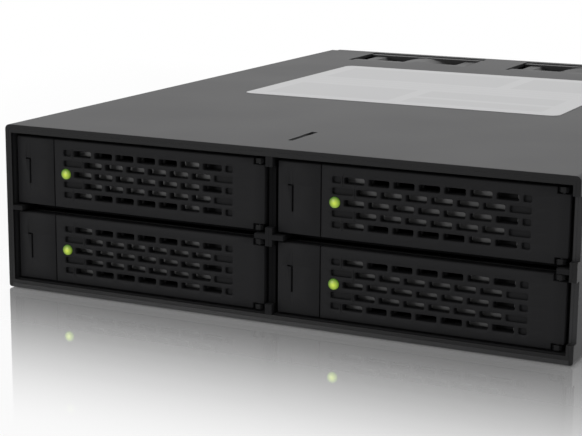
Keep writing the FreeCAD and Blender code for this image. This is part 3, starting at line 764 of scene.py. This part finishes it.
def join(meshes: Iterable[BMesh]) -> BMesh:
    """Put several meshes into one.

    Args:
        meshes: The meshes, freed here.

    Returns:
        The joined mesh.
    """
    whole = bmesh.new()
    for part in meshes:
        carrier = mesh_data(part, "carrier")
        whole.from_mesh(carrier)
        bpy.data.meshes.remove(carrier)
    return whole


def hollowed(body: BMesh, tool: BMesh) -> BMesh:
    """Take one mesh out of another.

    Args:
        body: Mesh that is cut, freed here.
        tool: Mesh that is taken out of it, freed here.

    Returns:
        The cut mesh.
    """
    carriers = [add_object(name, mesh_data(mesh, name)) for name, mesh in (("body", body), ("tool", tool))]
    cut = carriers[0].modifiers.new("cut", "BOOLEAN")
    cut.operation = "DIFFERENCE"
    cut.solver = "EXACT"
    cut.object = carriers[1]
    cut.use_self = True
    graph = bpy.context.evaluated_depsgraph_get()
    result = bmesh.new()
    result.from_mesh(carriers[0].evaluated_get(graph).to_mesh())
    for carrier in carriers:
        bpy.data.objects.remove(carrier)
    return result


def mesh_data(mesh: BMesh, name: str) -> Mesh:
    """Turn a mesh into data for an object.

    Args:
        mesh: The mesh, freed here.
        name: Name of the data.

    Returns:
        The data.
    """
    data = bpy.data.meshes.new(name)
    mesh.to_mesh(data)
    mesh.free()
    return data


def add_object(name: str, data: ID) -> Object:
    """Put new data into the scene.

    Args:
        name: Name of the object.
        data: Mesh, camera or lamp.

    Returns:
        The object.
    """
    added = bpy.data.objects.new(name, data)
    bpy.context.scene.collection.objects.link(added)
    return added


def add_piece(
    mesh: BMesh, name: str, body: str, finishes: Iterable[Finish],
    replaces: Iterable[str] = (),
) -> Object:
    """Turn a finished mesh, in millimetres, into a piece that rides on a body.

    Args:
        mesh: Mesh of the piece, freed here.
        name: Name of the piece.
        body: Body that carries it.
        finishes: Finishes, in the order of the faces' material numbers.
        replaces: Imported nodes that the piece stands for.

    Returns:
        The piece's object.
    """
    mesh.normal_update()
    for face in mesh.faces:
        face.smooth = max(abs(part) for part in face.normal) < SQUARE
    bmesh.ops.scale(mesh, vec=(MM, MM, MM), verts=mesh.verts)
    data = mesh_data(mesh, name)
    data.set_sharp_from_angle(angle=SHADE_ANGLE)
    for finish in finishes:
        data.materials.append(finish.material())
    piece = add_object(name, data)
    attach(piece, body)
    if replaces:
        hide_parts(*replaces)
    LOG.info("%s: %d faces, on %s", name, len(data.polygons), body)
    return piece


def dress_node(node: str, finish: Finish) -> None:
    """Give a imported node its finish.

    Args:
        node: Name of the node.
        finish: Finish that fills its material slots.
    """
    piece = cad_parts[node]
    material = finish.material()
    if not piece.material_slots:
        piece.data.materials.append(material)
    for slot in piece.material_slots:
        slot.material = material
    LOG.info("%s: packed node in %s", node, material.name)


# Trays ----------------------------------------------------


@dataclass
class FacePlate:
    """Plate on the front of one tray, as the lever and the button have it."""

    bay: str
    thick: float = 2.2
    edge: float = 0.35
    rim: float = 0.12

    def cut(self, low: Vector, high: Vector, holes: list[Rect], pockets: list[Rect], depth: float) -> BMesh:
        """Cut the plate, with its front at Y = 0.

        Args:
            low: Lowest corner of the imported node.
            high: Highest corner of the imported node.
            holes: Areas that are open.
            pockets: Areas that are pressed back.
            depth: Depth of the pockets.

        Returns:
            The plate.
        """
        plate = sliced_sheet(Rect(low.x, high.x, low.z, high.z), holes + pockets)
        bmesh.ops.delete(plate, geom=faces_in(plate, holes), context="FACES")
        thicken(plate, (0, self.thick, 0))
        press(plate, pockets, depth)
        merge_points(plate)
        return plate

    def soften(self, plate: BMesh, low: Vector, high: Vector, chosen: Callable[[BMEdge], bool]) -> None:
        """Round the long edges and rims of the front and put the plate in its place.

        Args:
            plate: The plate.
            low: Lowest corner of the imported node.
            high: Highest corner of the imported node.
            chosen: Test of the front edges that get the narrow rim.
        """
        outer = (low.z, high.z)
        round_edges(plate, lambda e: lies_at(e, 1, 0) and any(lies_at(e, 2, z) for z in outer), self.edge, 2)
        round_edges(plate, lambda e: lies_at(e, 1, 0) and chosen(e), self.rim, 1)
        move(plate, (0, low.y, 0))


@dataclass
class TrayLever(FacePlate):
    """Swing lever of one tray: staggered rounded slots, blind end pockets, notches and a latch tongue."""

    slot_length: float = 5.0
    slot_height: float = 1.5
    slot_pitch: float = 6.0
    row_pitch: float = 2.6
    rows: int = 5
    grille_start: float = 2.6
    grille_end: float = 8.4
    first_slot: float = 2.9
    web: float = 0.65
    pocket_depth: float = 0.85
    notch_width: float = 2.95
    notch_height: float = 1.5
    slot_corner: float = 0.38
    border: float = 1.0
    tongue_root: float = 0.2
    tongue_corner: float = 0.5
    tongue_inset: float = 0.45
    tongue_thick: float = 1.2
    tongue_height: float = 3.5
    tongue_rise: float = 3.0
    tongue_length: float = 4.4
    tongue_eye: float = 1.4

    def areas(self, low: Vector, high: Vector) -> tuple[list[Rect], list[Rect], list[Rect]]:
        """Work out what is cut from the face.

        Args:
            low: Lowest corner of the lever.
            high: Highest corner of the lever.

        Returns:
            The open slots, the blind pockets and the two corner notches.
        """
        start, end = low.x + self.grille_start, high.x - self.grille_end
        middle = (low.z + high.z) / 2
        slots, pockets = [], []
        for row in range(self.rows):
            z = middle + (self.rows // 2 - row) * self.row_pitch
            bottom, top = z - self.slot_height / 2, z + self.slot_height / 2
            first = start + self.first_slot + (self.slot_pitch / 2 if row % 2 else 0)
            count = int((end - self.web - self.slot_length - first) / self.slot_pitch) + 1
            lefts = [first + self.slot_pitch * n for n in range(count)]
            slots += [Rect(x, x + self.slot_length, bottom, top) for x in lefts]
            if row != self.rows // 2:
                pockets.append(Rect(start, lefts[0] - self.web, bottom, top))
            pockets.append(Rect(lefts[-1] + self.slot_pitch, end, bottom, top))
        notch_x = high.x - self.notch_width
        notches = [
            Rect(notch_x, high.x, high.z - self.notch_height, high.z),
            Rect(notch_x, high.x, low.z, low.z + self.notch_height),
        ]
        return slots, pockets, notches

    def tongue(self, low: Vector, middle: float) -> BMesh:
        """Latch tongue with its square eye.

        Args:
            low: Lowest corner of the lever.
            middle: Height of the lever's middle.

        Returns:
            The tongue.
        """
        bottom = middle + self.tongue_rise
        eye_low = bottom + (self.tongue_height - self.tongue_eye) / 2
        eye_x = self.tongue_length - 2 * self.tongue_eye
        eye = Rect(eye_x, eye_x + self.tongue_eye, eye_low, eye_low + self.tongue_eye)
        outline = Rect(-self.tongue_root, self.tongue_length, bottom, bottom + self.tongue_height)
        plate = sliced_sheet(outline, [eye])
        bmesh.ops.delete(plate, geom=faces_in(plate, [eye]), context="FACES")
        thicken(plate, (0, -self.tongue_thick, 0))
        merge_points(plate)
        round_edges(plate, lambda e: runs_along(e, 1) and e.verts[0].co.x > eye.right, self.tongue_corner, 3)
        quarter_turn(plate, "Z")
        move(plate, (low.x + self.tongue_inset, low.y + self.thick, 0))
        return plate

    def build(self) -> None:
        """Build and dress the lever."""
        node = f"{self.bay}_lever"
        low, high = node_limits(node)
        slots, pockets, notches = self.areas(low, high)
        plate = self.cut(low, high, slots + notches, pockets, self.pocket_depth)
        border = self.border
        grille = Rect(low.x + border, high.x - self.grille_end + border, low.z + border, high.z - border)
        round_edges(
            plate, lambda e: runs_along(e, 1) and grille.holds(e.verts[0].co.x, e.verts[0].co.z),
            self.slot_corner, 3,
        )
        self.soften(plate, low, high, lambda e: True)
        whole = join([plate, self.tongue(low, (low.z + high.z) / 2)])
        body = f"{self.bay}_lever_arm"
        add_piece(whole, f"{node}_dressed", body, [Finish.FACE], [node])


@dataclass
class AirShield:
    """Pierced zinc sheet on the tray's front, which shows behind the lever's slots."""

    bay: str
    front_sheet: float = 0.8
    thick: float = 0.22
    left_inset: float = 4.75
    right_inset: float = 8.0
    half_height: float = 6.9
    window_height: float = 2.1
    window_start: float = 0.9
    window_end: float = 1.2
    first_window: int = 1
    last_window: int = 4
    drop: float = 0.3

    def build(self, lever: TrayLever) -> None:
        """Build and dress the shield.

        Args:
            lever: Lever whose slots the windows follow.
        """
        low, high = node_limits(f"{self.bay}_lever")
        back = node_limits(f"{self.bay}_tray_front")[1].y - self.front_sheet
        middle = (low.z + high.z) / 2
        rows: dict[float, list[Rect]] = {}
        for slot in lever.areas(low, high)[0]:
            rows.setdefault(round(slot.low, 3), []).append(slot)
        levels = sorted(rows, reverse=True)
        # Windows show in the two end rows, and behind the last slot of every other row.
        span = slice(self.first_window, self.last_window + 1)
        shown = rows[levels[0]][span] + rows[levels[-1]][span] + [rows[level][-1] for level in levels[::2]]
        windows = []
        for slot in shown:
            bottom = (slot.low + slot.high) / 2 - self.drop - self.window_height / 2
            left, right = slot.left - self.window_start, slot.right - self.window_end
            windows.append(Rect(left, right, bottom, bottom + self.window_height))
        left, right = low.x + self.left_inset, high.x - self.right_inset
        outline = Rect(left, right, middle - self.half_height, middle + self.half_height)
        sheet = sliced_sheet(outline, windows)
        bmesh.ops.delete(sheet, geom=faces_in(sheet, windows), context="FACES")
        thicken(sheet, (0, self.thick, 0))
        move(sheet, (0, back - self.thick, 0))
        add_piece(sheet, f"{self.bay}_air_shield", f"{self.bay}_tray", [Finish.SHIELD])


@dataclass
class EjectButton(FacePlate):
    """Button that frees one lever: grooved face and guide stem."""

    rim: float = 0.08
    groove_offset: float = 3.4
    groove_width: float = 0.45
    groove_height: float = 6.4
    groove_depth: float = 0.8
    tick_length: float = 1.0
    tick_height: float = 0.4
    stem_width: float = 4.0
    stem_height: float = 6.0
    stem_root: float = 0.2
    stem_edge: float = 0.3

    def build(self) -> None:
        """Build and dress the button."""
        node = f"{self.bay}_eject_button"
        low, high = node_limits(node)
        middle = (low + high) / 2
        left = low.x + self.groove_offset
        bottom, top = middle.z - self.groove_height / 2, middle.z + self.groove_height / 2
        groove = Rect(left, left + self.groove_width, bottom, top)
        tick = Rect(left - self.tick_length, left, top - self.tick_height, top)
        plate = self.cut(low, high, [], [groove, tick], self.groove_depth)
        self.soften(plate, low, high, lambda e: runs_along(e, 2))
        half_w, half_h = self.stem_width / 2, self.stem_height / 2
        stem = block(
            (middle.x - half_w, low.y + self.thick - self.stem_root, middle.z - half_h),
            (middle.x + half_w, high.y, middle.z + half_h), self.stem_edge,
        )
        whole, body = join([plate, stem]), f"{self.bay}_button"
        add_piece(whole, f"{node}_dressed", body, [Finish.FACE], [node])


@dataclass
class ButtonSpring:
    """Bowed leaf spring behind one button, which the pressed button flattens."""

    bay: str
    pressed_share: float = 0.13

    def build(self) -> None:
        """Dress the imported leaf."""
        node = f"{self.bay}_button_spring"
        leaf = bmesh.new()
        leaf.from_mesh(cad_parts[node].data)
        bmesh.ops.scale(leaf, vec=(1 / MM, 1 / MM, 1 / MM), verts=leaf.verts)
        merge_points(leaf)
        body = f"{self.bay}_tray"
        piece = add_piece(leaf, f"{node}_dressed", body, [Finish.SPRING], [node])
        seat = node_middle(node)
        seat.y = node_limits(node)[1].y
        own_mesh(piece)


@dataclass
class LampLens:
    """Domed diffusing lens of one tray's lamp, with a thin flange behind the dome's foot that carries a
    painted glow halo.
    """

    bay: str
    radius: float = 1.3
    rise: float = 0.5
    depth: float = 1.9
    flange: float = 0.3
    flange_rings: int = 4
    flange_front: float = -0.21
    flange_back: float = -0.29
    flange_fade: float = 0.8
    hot_spot: tuple[float, float] = (0.15, -0.1)
    steps: int = 32

    def build(self) -> None:
        """Build and dress the lens."""
        node = f"{self.bay}_lamp_lens"
        radius, flange = self.radius, self.flange
        angles = [math.radians(degrees) for degrees in range(90, 0, -15)]
        dome = [(radius * math.cos(angle), self.rise * math.sin(angle)) for angle in angles]
        shares = [ring / self.flange_rings for ring in range(self.flange_rings + 1)]
        rings = [(radius + flange * share, self.flange_front) for share in shares]
        skirt = [(radius + flange, self.flange_back), (radius, self.flange_back)]
        lens = turned(dome + rings + skirt + [(radius, -self.depth), (0.0, -self.depth)], self.steps)
        reach = lens.verts.layers.float.new("reach")
        # Reach over the flange sets how the painted glow halo fades out there.
        for vert in lens.verts:
            away = (vert.co.xy - Vector(self.hot_spot)).length / radius
            beyond = (vert.co.xy.length - radius) / flange
            vert[reach] = 1.0 + min(1.0, beyond) ** self.flange_fade if beyond > 0 else min(1.0, away)
        quarter_turn(lens, "X")
        place = node_middle(node)
        place.y = node_limits(node)[0].y
        move(lens, place)
        add_piece(lens, f"{node}_dressed", f"{self.bay}_lever_arm", [Finish.LENS], [node])


# Housing --------------------------------------------------


@dataclass
class RoofLabel:
    """Blank film label on the roof, with plain fields and ruled lines."""

    left: float = -47.9
    right: float = 44.0
    front: float = -19.0
    back: float = 54.4
    corner: float = 2.5
    thick: float = 0.12
    sink: float = 0.02
    fields: list[Rect] = field(
        default_factory=lambda: [
            Rect(-43.0, -6.0, -14.0, 10.0), Rect(-2.0, 38.0, -14.0, -5.0), Rect(-2.0, 38.0, -2.0, 10.0),
            Rect(-43.0, 12.0, 26.0, 49.0), Rect(16.0, 38.0, 26.0, 49.0), Rect(-43.0, 38.0, 14.0, 14.6),
            Rect(-43.0, 38.0, 18.0, 18.6), Rect(-43.0, 38.0, 22.0, 22.6),
        ]
    )

    def build(self) -> None:
        """Build and dress the label."""
        top = node_limits("roof_cover")[1].z
        film = sliced_sheet(Rect(self.left, self.right, self.front, self.back), self.fields)
        corners = [
            vert for vert in film.verts
            if min(abs(vert.co.x - self.left), abs(vert.co.x - self.right)) < SAME_PLACE
            and min(abs(vert.co.z - self.front), abs(vert.co.z - self.back)) < SAME_PLACE
        ]
        for face in faces_in(film, self.fields):
            face.material_index = 1
        bevel(film, corners, self.corner, 6, affect="VERTICES")
        thicken(film, (0, self.thick, 0))
        quarter_turn(film, "X", -1)
        bmesh.ops.recalc_face_normals(film, faces=film.faces)
        height = min(vert.co.z for vert in film.verts)
        move(film, (0, 0, top - height - self.sink))
        add_piece(film, "roof_label", "cage", [Finish.LABEL, Finish.LABEL_FIELD])


@dataclass
class CrossScrews:
    """Pan head screws with a cross recess, all in one piece.

    The dome and the recess are shares of the head's radius and height.
    """

    name: str
    places: list[tuple[Vector, Vector]]
    radius: float = 3.2
    height: float = 1.6
    dome: tuple[tuple[float, float], ...] = ((0.0, 1.0), (0.5, 0.97), (0.8, 0.8), (0.95, 0.5), (1.0, 0.1))
    root: float = 0.1
    recess_reach: float = 0.5
    recess_width: float = 0.13
    recess_floor: float = 0.35
    recess_edge: float = 0.02
    steps: int = 28
    replaces: tuple[str, ...] = ()

    def build(self) -> None:
        """Build and dress the screws."""
        radius, height = self.radius, self.height
        profile = [(across * radius, up * height) for across, up in self.dome]
        profile += [(radius, -self.root), (0.0, -self.root)]
        arm, half = self.recess_reach * radius, self.recess_width * radius
        floor, above = self.recess_floor * height, 2 * height
        screws = []
        for place, normal in self.places:
            arms = join([
                block((-arm, -half, floor), (arm, half, above), self.recess_edge),
                block((-half, -arm, floor), (half, arm, above), self.recess_edge),
            ])
            head = hollowed(turned(profile, self.steps), arms)
            turn = Vector((0, 0, 1)).rotation_difference(normal).to_matrix()
            bmesh.ops.rotate(head, cent=(0, 0, 0), matrix=turn, verts=head.verts)
            move(head, place)
            screws.append(head)
        add_piece(join(screws), self.name, "cage", [Finish.SCREW], self.replaces)


@dataclass
class Housing:
    """Folded sheet housing: its packed sheets, the label, the cover screws and the fan screws."""

    inner_nodes: tuple[str, ...] = ("centre_wall", "left_shelf", "right_shelf")
    outer_nodes: tuple[str, ...] = ("roof_cover", "base_pan", "rear_panel", "front_bezel")
    cover_screw_radius: float = 2.4
    cover_screw_height: float = 0.5
    flange_screw: tuple[float, float] = (54.0, 5.2)
    tab_screw: tuple[float, float] = (87.0, 20.65)
    fan_pitch: float = 32.0

    def fan_screw_places(self) -> list[tuple[Vector, Vector]]:
        """Work out where the fan screws stand on the rear panel, two to a fan.

        Returns:
            The place and the outward way of each screw.
        """
        back = node_limits("rear_panel")[1].y
        places = []
        for side in FAN_SIDES:
            middle = node_middle(f"{side}_fan_frame")
            for reach in (-self.fan_pitch / 2, self.fan_pitch / 2):
                places.append((Vector((middle.x + reach, back, middle.z + reach)), Vector((0, 1, 0))))
        return places

    def cover_screw_places(self) -> list[tuple[Vector, Vector]]:
        """Work out where the low cover screws stand on both sides.

        Returns:
            The place and the outward way of each screw.
        """
        low, high = node_limits("roof_cover")
        places = []
        for x, way in ((low.x, -1), (high.x, 1)):
            for y, z in (self.flange_screw, self.tab_screw):
                places.append((Vector((x, y, z)), Vector((way, 0, 0))))
        return places

    def build(self) -> None:
        """Dress the sheets and add the label and screws."""
        for node in self.outer_nodes:
            dress_node(node, Finish.BASE if node == "base_pan" else Finish.HOUSING)
        for node in self.inner_nodes:
            dress_node(node, Finish.INNER)
        RoofLabel().build()
        CrossScrews("fan_screws_dressed", self.fan_screw_places(), replaces=("fan_screws",)).build()
        radius, height = self.cover_screw_radius, self.cover_screw_height
        CrossScrews("cover_screws", self.cover_screw_places(), radius, height).build()


# Electronics and fans -------------------------------------


@dataclass
class Backplane:
    """Boards, sockets and headers, with the gold contacts and small parts that the bays show.

    A chip or capacitor is a rectangle about the middle of its bay, on the face of the backplane.
    """

    socket_shift: float = -8.0
    socket_floor: float = 2.8
    pins: int = 22
    pin_pitch: float = 1.27
    pin_width: float = 0.6
    pin_inset: float = 0.6
    pin_length: float = 4.0
    pin_sink: float = 0.1
    pin_rise: float = 0.35
    chip: Rect = Rect(19.0, 25.0, -4.5, 0.5)
    chip_thick: float = 1.0
    chip_edge: float = 0.15
    capacitor: Rect = Rect(15.5, 17.1, -7.2, -6.4)
    capacitor_thick: float = 0.8
    capacitor_pitch: float = 3.2
    capacitors: int = 4
    solder: float = 0.1
    small_edge: float = 0.08
    boards: tuple[str, ...] = ("backplane_board", "port_board", "link_board")
    housings: tuple[str, ...] = ("drive_sockets", "fan_headers", "link_headers", "data_ports", "power_ports")

    def contacts(self) -> BMesh:
        """Gold springs along the lower side of every drive socket's slot.

        Returns:
            The contacts.
        """
        front = node_limits("drive_sockets")[0].y
        start, end = front + self.pin_inset, front + self.pin_length
        half = self.pin_width / 2
        springs = []
        for bay in BAYS:
            middle = node_middle(f"{bay}_tray_front").x + self.socket_shift
            floor = node_limits(f"{bay}_tray_pan")[1].z + self.socket_floor
            bottom, top = floor - self.pin_sink, floor + self.pin_rise
            for pin in range(self.pins):
                x = middle + (pin - (self.pins - 1) / 2) * self.pin_pitch
                springs.append(block((x - half, start, bottom), (x + half, end, top), self.small_edge))
        return join(springs)

    def mounted(self, middle: Vector, area: Rect, thick: float, edge: float) -> BMesh:
        """One small part on the face of the backplane.

        Args:
            middle: Middle of the bay, at the depth of the backplane's face.
            area: The part's rectangle about that middle.
            thick: How far the part stands out.
            edge: Width of its bevels.

        Returns:
            The part.
        """
        low = middle + Vector((area.left, -thick, area.low))
        high = middle + Vector((area.right, self.solder, area.high))
        return block(low, high, edge)

    def small_parts(self) -> tuple[BMesh, BMesh]:
        """Chips and capacitors of the four bays.

        Returns:
            The chips and the capacitors.
        """
        chips, capacitors = [], []
        for bay in BAYS:
            middle = node_middle(f"{bay}_tray_front")
            middle.y = node_limits("backplane_board")[0].y
            chips.append(self.mounted(middle, self.chip, self.chip_thick, self.chip_edge))
            for number in range(self.capacitors):
                place = middle + Vector((number * self.capacitor_pitch, 0, 0))
                capacitors.append(
                    self.mounted(place, self.capacitor, self.capacitor_thick, self.small_edge)
                )
        return join(chips), join(capacitors)

    def build(self) -> None:
        """Dress the boards and sockets and add their small parts."""
        for node in self.boards:
            dress_node(node, Finish.BOARD)
        for node in self.housings:
            dress_node(node, Finish.CONNECTOR)
        add_piece(self.contacts(), "socket_contacts", "cage", [Finish.GOLD])
        chips, capacitors = self.small_parts()
        add_piece(chips, "board_chips", "cage", [Finish.CHIP])
        add_piece(capacitors, "board_capacitors", "cage", [Finish.CERAMIC])


@dataclass
class Fan:
    """One 40 mm fan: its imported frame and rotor, and the plain seal over its motor."""

    side: str
    seal_radius: float = 9.5
    seal_thick: float = 0.1
    seal_edge: float = 0.1
    seal_sink: float = 0.02
    steps: int = 48

    def build(self) -> None:
        """Dress the fan and add its seal."""
        dress_node(f"{self.side}_fan_frame", Finish.FAN)
        dress_node(f"{self.side}_fan_rotor", Finish.FAN)
        radius, thick = self.seal_radius, self.seal_thick
        profile = [(0.0, thick), (radius - self.seal_edge, thick), (radius, 0.0), (0.0, -self.seal_sink)]
        seal = turned(profile, self.steps)
        quarter_turn(seal, "X", -1)
        place = node_middle(f"{self.side}_fan_frame")
        place.y = node_limits(f"{self.side}_fan_frame")[1].y
        move(seal, place)
        add_piece(seal, f"{self.side}_fan_seal", "cage", [Finish.STICKER])


@dataclass
class Tray:
    """One tray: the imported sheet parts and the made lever, button and lens."""

    bay: str

    def build(self) -> None:
        """Dress the tray and build its moving pieces."""
        for part in ("tray_pan", "tray_front"):
            dress_node(f"{self.bay}_{part}", Finish.PAN)
        dress_node(f"{self.bay}_hinge_pin", Finish.PIN)
        dress_node(f"{self.bay}_light_pipe", Finish.GUIDE)
        lever = TrayLever(self.bay)
        lever.build()
        AirShield(self.bay).build(lever)
        EjectButton(self.bay).build()
        ButtonSpring(self.bay).build()
        LampLens(self.bay).build()


# Studio ---------------------------------------------------


@dataclass
class Studio:
    """Pale glossy table, plain soft light and the camera.

    The camera's turn, tilt and roll are in radians. The lamps' places and sizes are metres.
    """

    lens: float = 100.08
    sensor: float = 36.0
    camera_place: Triple = (163.21, -422.93, 103.79)
    camera_turn: float = 0.45133
    camera_tilt: float = 0.21331
    camera_roll: float = 0.00852
    camera_near: float = 10.0
    table_size: float = 9000.0
    table_gap: float = 0.2
    table_gloss: float = 0.03
    table_shade: str = "f4f4f4"
    white: str = "ffffff"
    mirror_near: float = 0.77
    mirror_far: float = 0.0
    mirror_reach: float = 88.0
    white_near: float = 0.35
    white_reach: float = 250.0
    ambient: float = 0.5
    key_place: Triple = (-0.2, 0.1, 1.3)
    key_size: float = 1.4
    key_power: float = 12.0
    fill_place: Triple = (-0.36, -0.8, 0.1)
    fill_size: float = 0.22
    fill_power: float = 1.2

    def camera(self) -> None:
        """Create the camera and make it the scene's."""
        turn, tilt, roll = self.camera_turn, self.camera_tilt, self.camera_roll
        level = math.cos(tilt)
        back = Vector((math.sin(turn) * level, -math.cos(turn) * level, math.sin(tilt)))
        right = Vector((math.cos(turn), math.sin(turn), 0))
        up = back.cross(right)
        rolled_right = right * math.cos(roll) + up * math.sin(roll)
        rolled_up = up * math.cos(roll) - right * math.sin(roll)
        axes = Matrix((rolled_right, rolled_up, back)).transposed().to_4x4()
        data = bpy.data.cameras.new("camera")
        data.lens = self.lens
        data.sensor_width = self.sensor
        data.clip_start = self.camera_near * MM
        camera = add_object("camera", data)
        camera.matrix_world = Matrix.Translation(Vector(self.camera_place) * MM) @ axes
        bpy.context.scene.camera = camera

    def table_finish(self, half_width: float, half_depth: float) -> Material:
        """Polished white table whose mirror image fades away from the cage.

        Args:
            half_width: Half of the cage's width.
            half_depth: Half of the cage's depth.

        Returns:
            The material.
        """
        material, tree = new_material("lacquered_table_white")
        place = add_node(tree, "TexCoord", out="Object")
        outside = []
        for axis, half in (("X", half_width), ("Y", half_depth)):
            along = add_node(tree, "SeparateXYZ", {"Vector": place}, axis)
            size = add_node(tree, "Math", {0: along}, operation="ABSOLUTE")
            outside.append(add_node(tree, "Math", {0: size, 1: half * MM}, operation="SUBTRACT"))
        away = add_node(tree, "Math", dict(enumerate(outside)), operation="MAXIMUM")
        fade = {"From Max": self.mirror_reach * MM, "To Min": self.mirror_near, "To Max": self.mirror_far}
        mirror = add_node(tree, "MapRange", {"Value": away, **fade}, interpolation_type="SMOOTHSTEP")
        rise = {"From Max": self.white_reach * MM, "To Min": self.white_near}
        plain = add_node(tree, "MapRange", {"Value": away, **rise})
        seen = add_node(tree, "LightPath", out="Is Camera Ray")
        lit = add_node(tree, "Math", {0: plain, 1: seen}, operation="MULTIPLY")
        matt = add_node(tree, "BsdfDiffuse", {"Color": linear(self.table_shade)})
        glow = add_node(tree, "Emission", {"Color": linear(self.white), "Strength": 1.0})
        body = add_node(tree, "MixShader", {0: lit, 1: matt, 2: glow})
        gloss = add_node(tree, "BsdfGlossy", {"Color": linear(self.white), "Roughness": self.table_gloss})
        top = add_node(tree, "MixShader", {0: mirror, 1: body, 2: gloss})
        add_node(tree, "OutputMaterial", {"Surface": top})
        return material

    def table(self) -> None:
        """Create the table."""
        low, high = (Vector(corner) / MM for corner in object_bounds())
        mesh = bmesh.new()
        bmesh.ops.create_grid(mesh, x_segments=1, y_segments=1, size=self.table_size / 2 * MM)
        move(mesh, (0, 0, -self.table_gap * MM))
        data = mesh_data(mesh, "table")
        data.materials.append(self.table_finish((high.x - low.x) / 2, (high.y - low.y) / 2))
        add_object("table", data)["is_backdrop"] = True

    def surroundings(self) -> None:
        """White room to look at, dimmer where it only lights the cage."""
        world = bpy.data.worlds.new("studio")
        world.use_nodes = True
        tree = world.node_tree
        tree.nodes.clear()
        shown = add_node(tree, "LightPath", out="Is Camera Ray")
        for name in ("Is Glossy Ray", "Is Transmission Ray"):
            ray = add_node(tree, "LightPath", out=name)
            shown = add_node(tree, "Math", {0: shown, 1: ray}, operation="MAXIMUM")
        strength = add_node(tree, "MapRange", {"Value": shown, "To Min": self.ambient})
        room = add_node(tree, "Background", {"Color": linear(self.white), "Strength": strength})
        add_node(tree, "OutputWorld", {"Surface": room})
        bpy.context.scene.world = world

    def lamp(self, name: str, place: Triple, size: float, power: float) -> None:
        """Create a soft panel that faces the cage.

        Args:
            name: Name of the lamp.
            place: Its place, in metres.
            size: Length of its side, in metres.
            power: Its power.
        """
        data = bpy.data.lights.new(name, "AREA")
        data.shape = "SQUARE"
        data.size = size
        data.energy = power
        lamp = add_object(name, data)
        lamp.location = place
        lamp.rotation_euler = Vector(place).to_track_quat("Z", "Y").to_euler()

    def build(self) -> None:
        """Create the camera, table, surroundings and lamps."""
        bpy.context.scene.view_settings.view_transform = "Standard"
        self.camera()
        self.table()
        self.surroundings()
        self.lamp("overhead_panel", self.key_place, self.key_size, self.key_power)
        self.lamp("front_panel", self.fill_place, self.fill_size, self.fill_power)


def main() -> None:
    """Build the studio and the cage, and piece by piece."""
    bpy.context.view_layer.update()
    Studio().build()
    Housing().build()
    Backplane().build()
    for side in FAN_SIDES:
        Fan(side).build()
    for bay in BAYS:
        Tray(bay).build()


if __name__ == "__main__":
    logging.basicConfig(level=logging.INFO, format="%(name)s %(message)s")
    main()
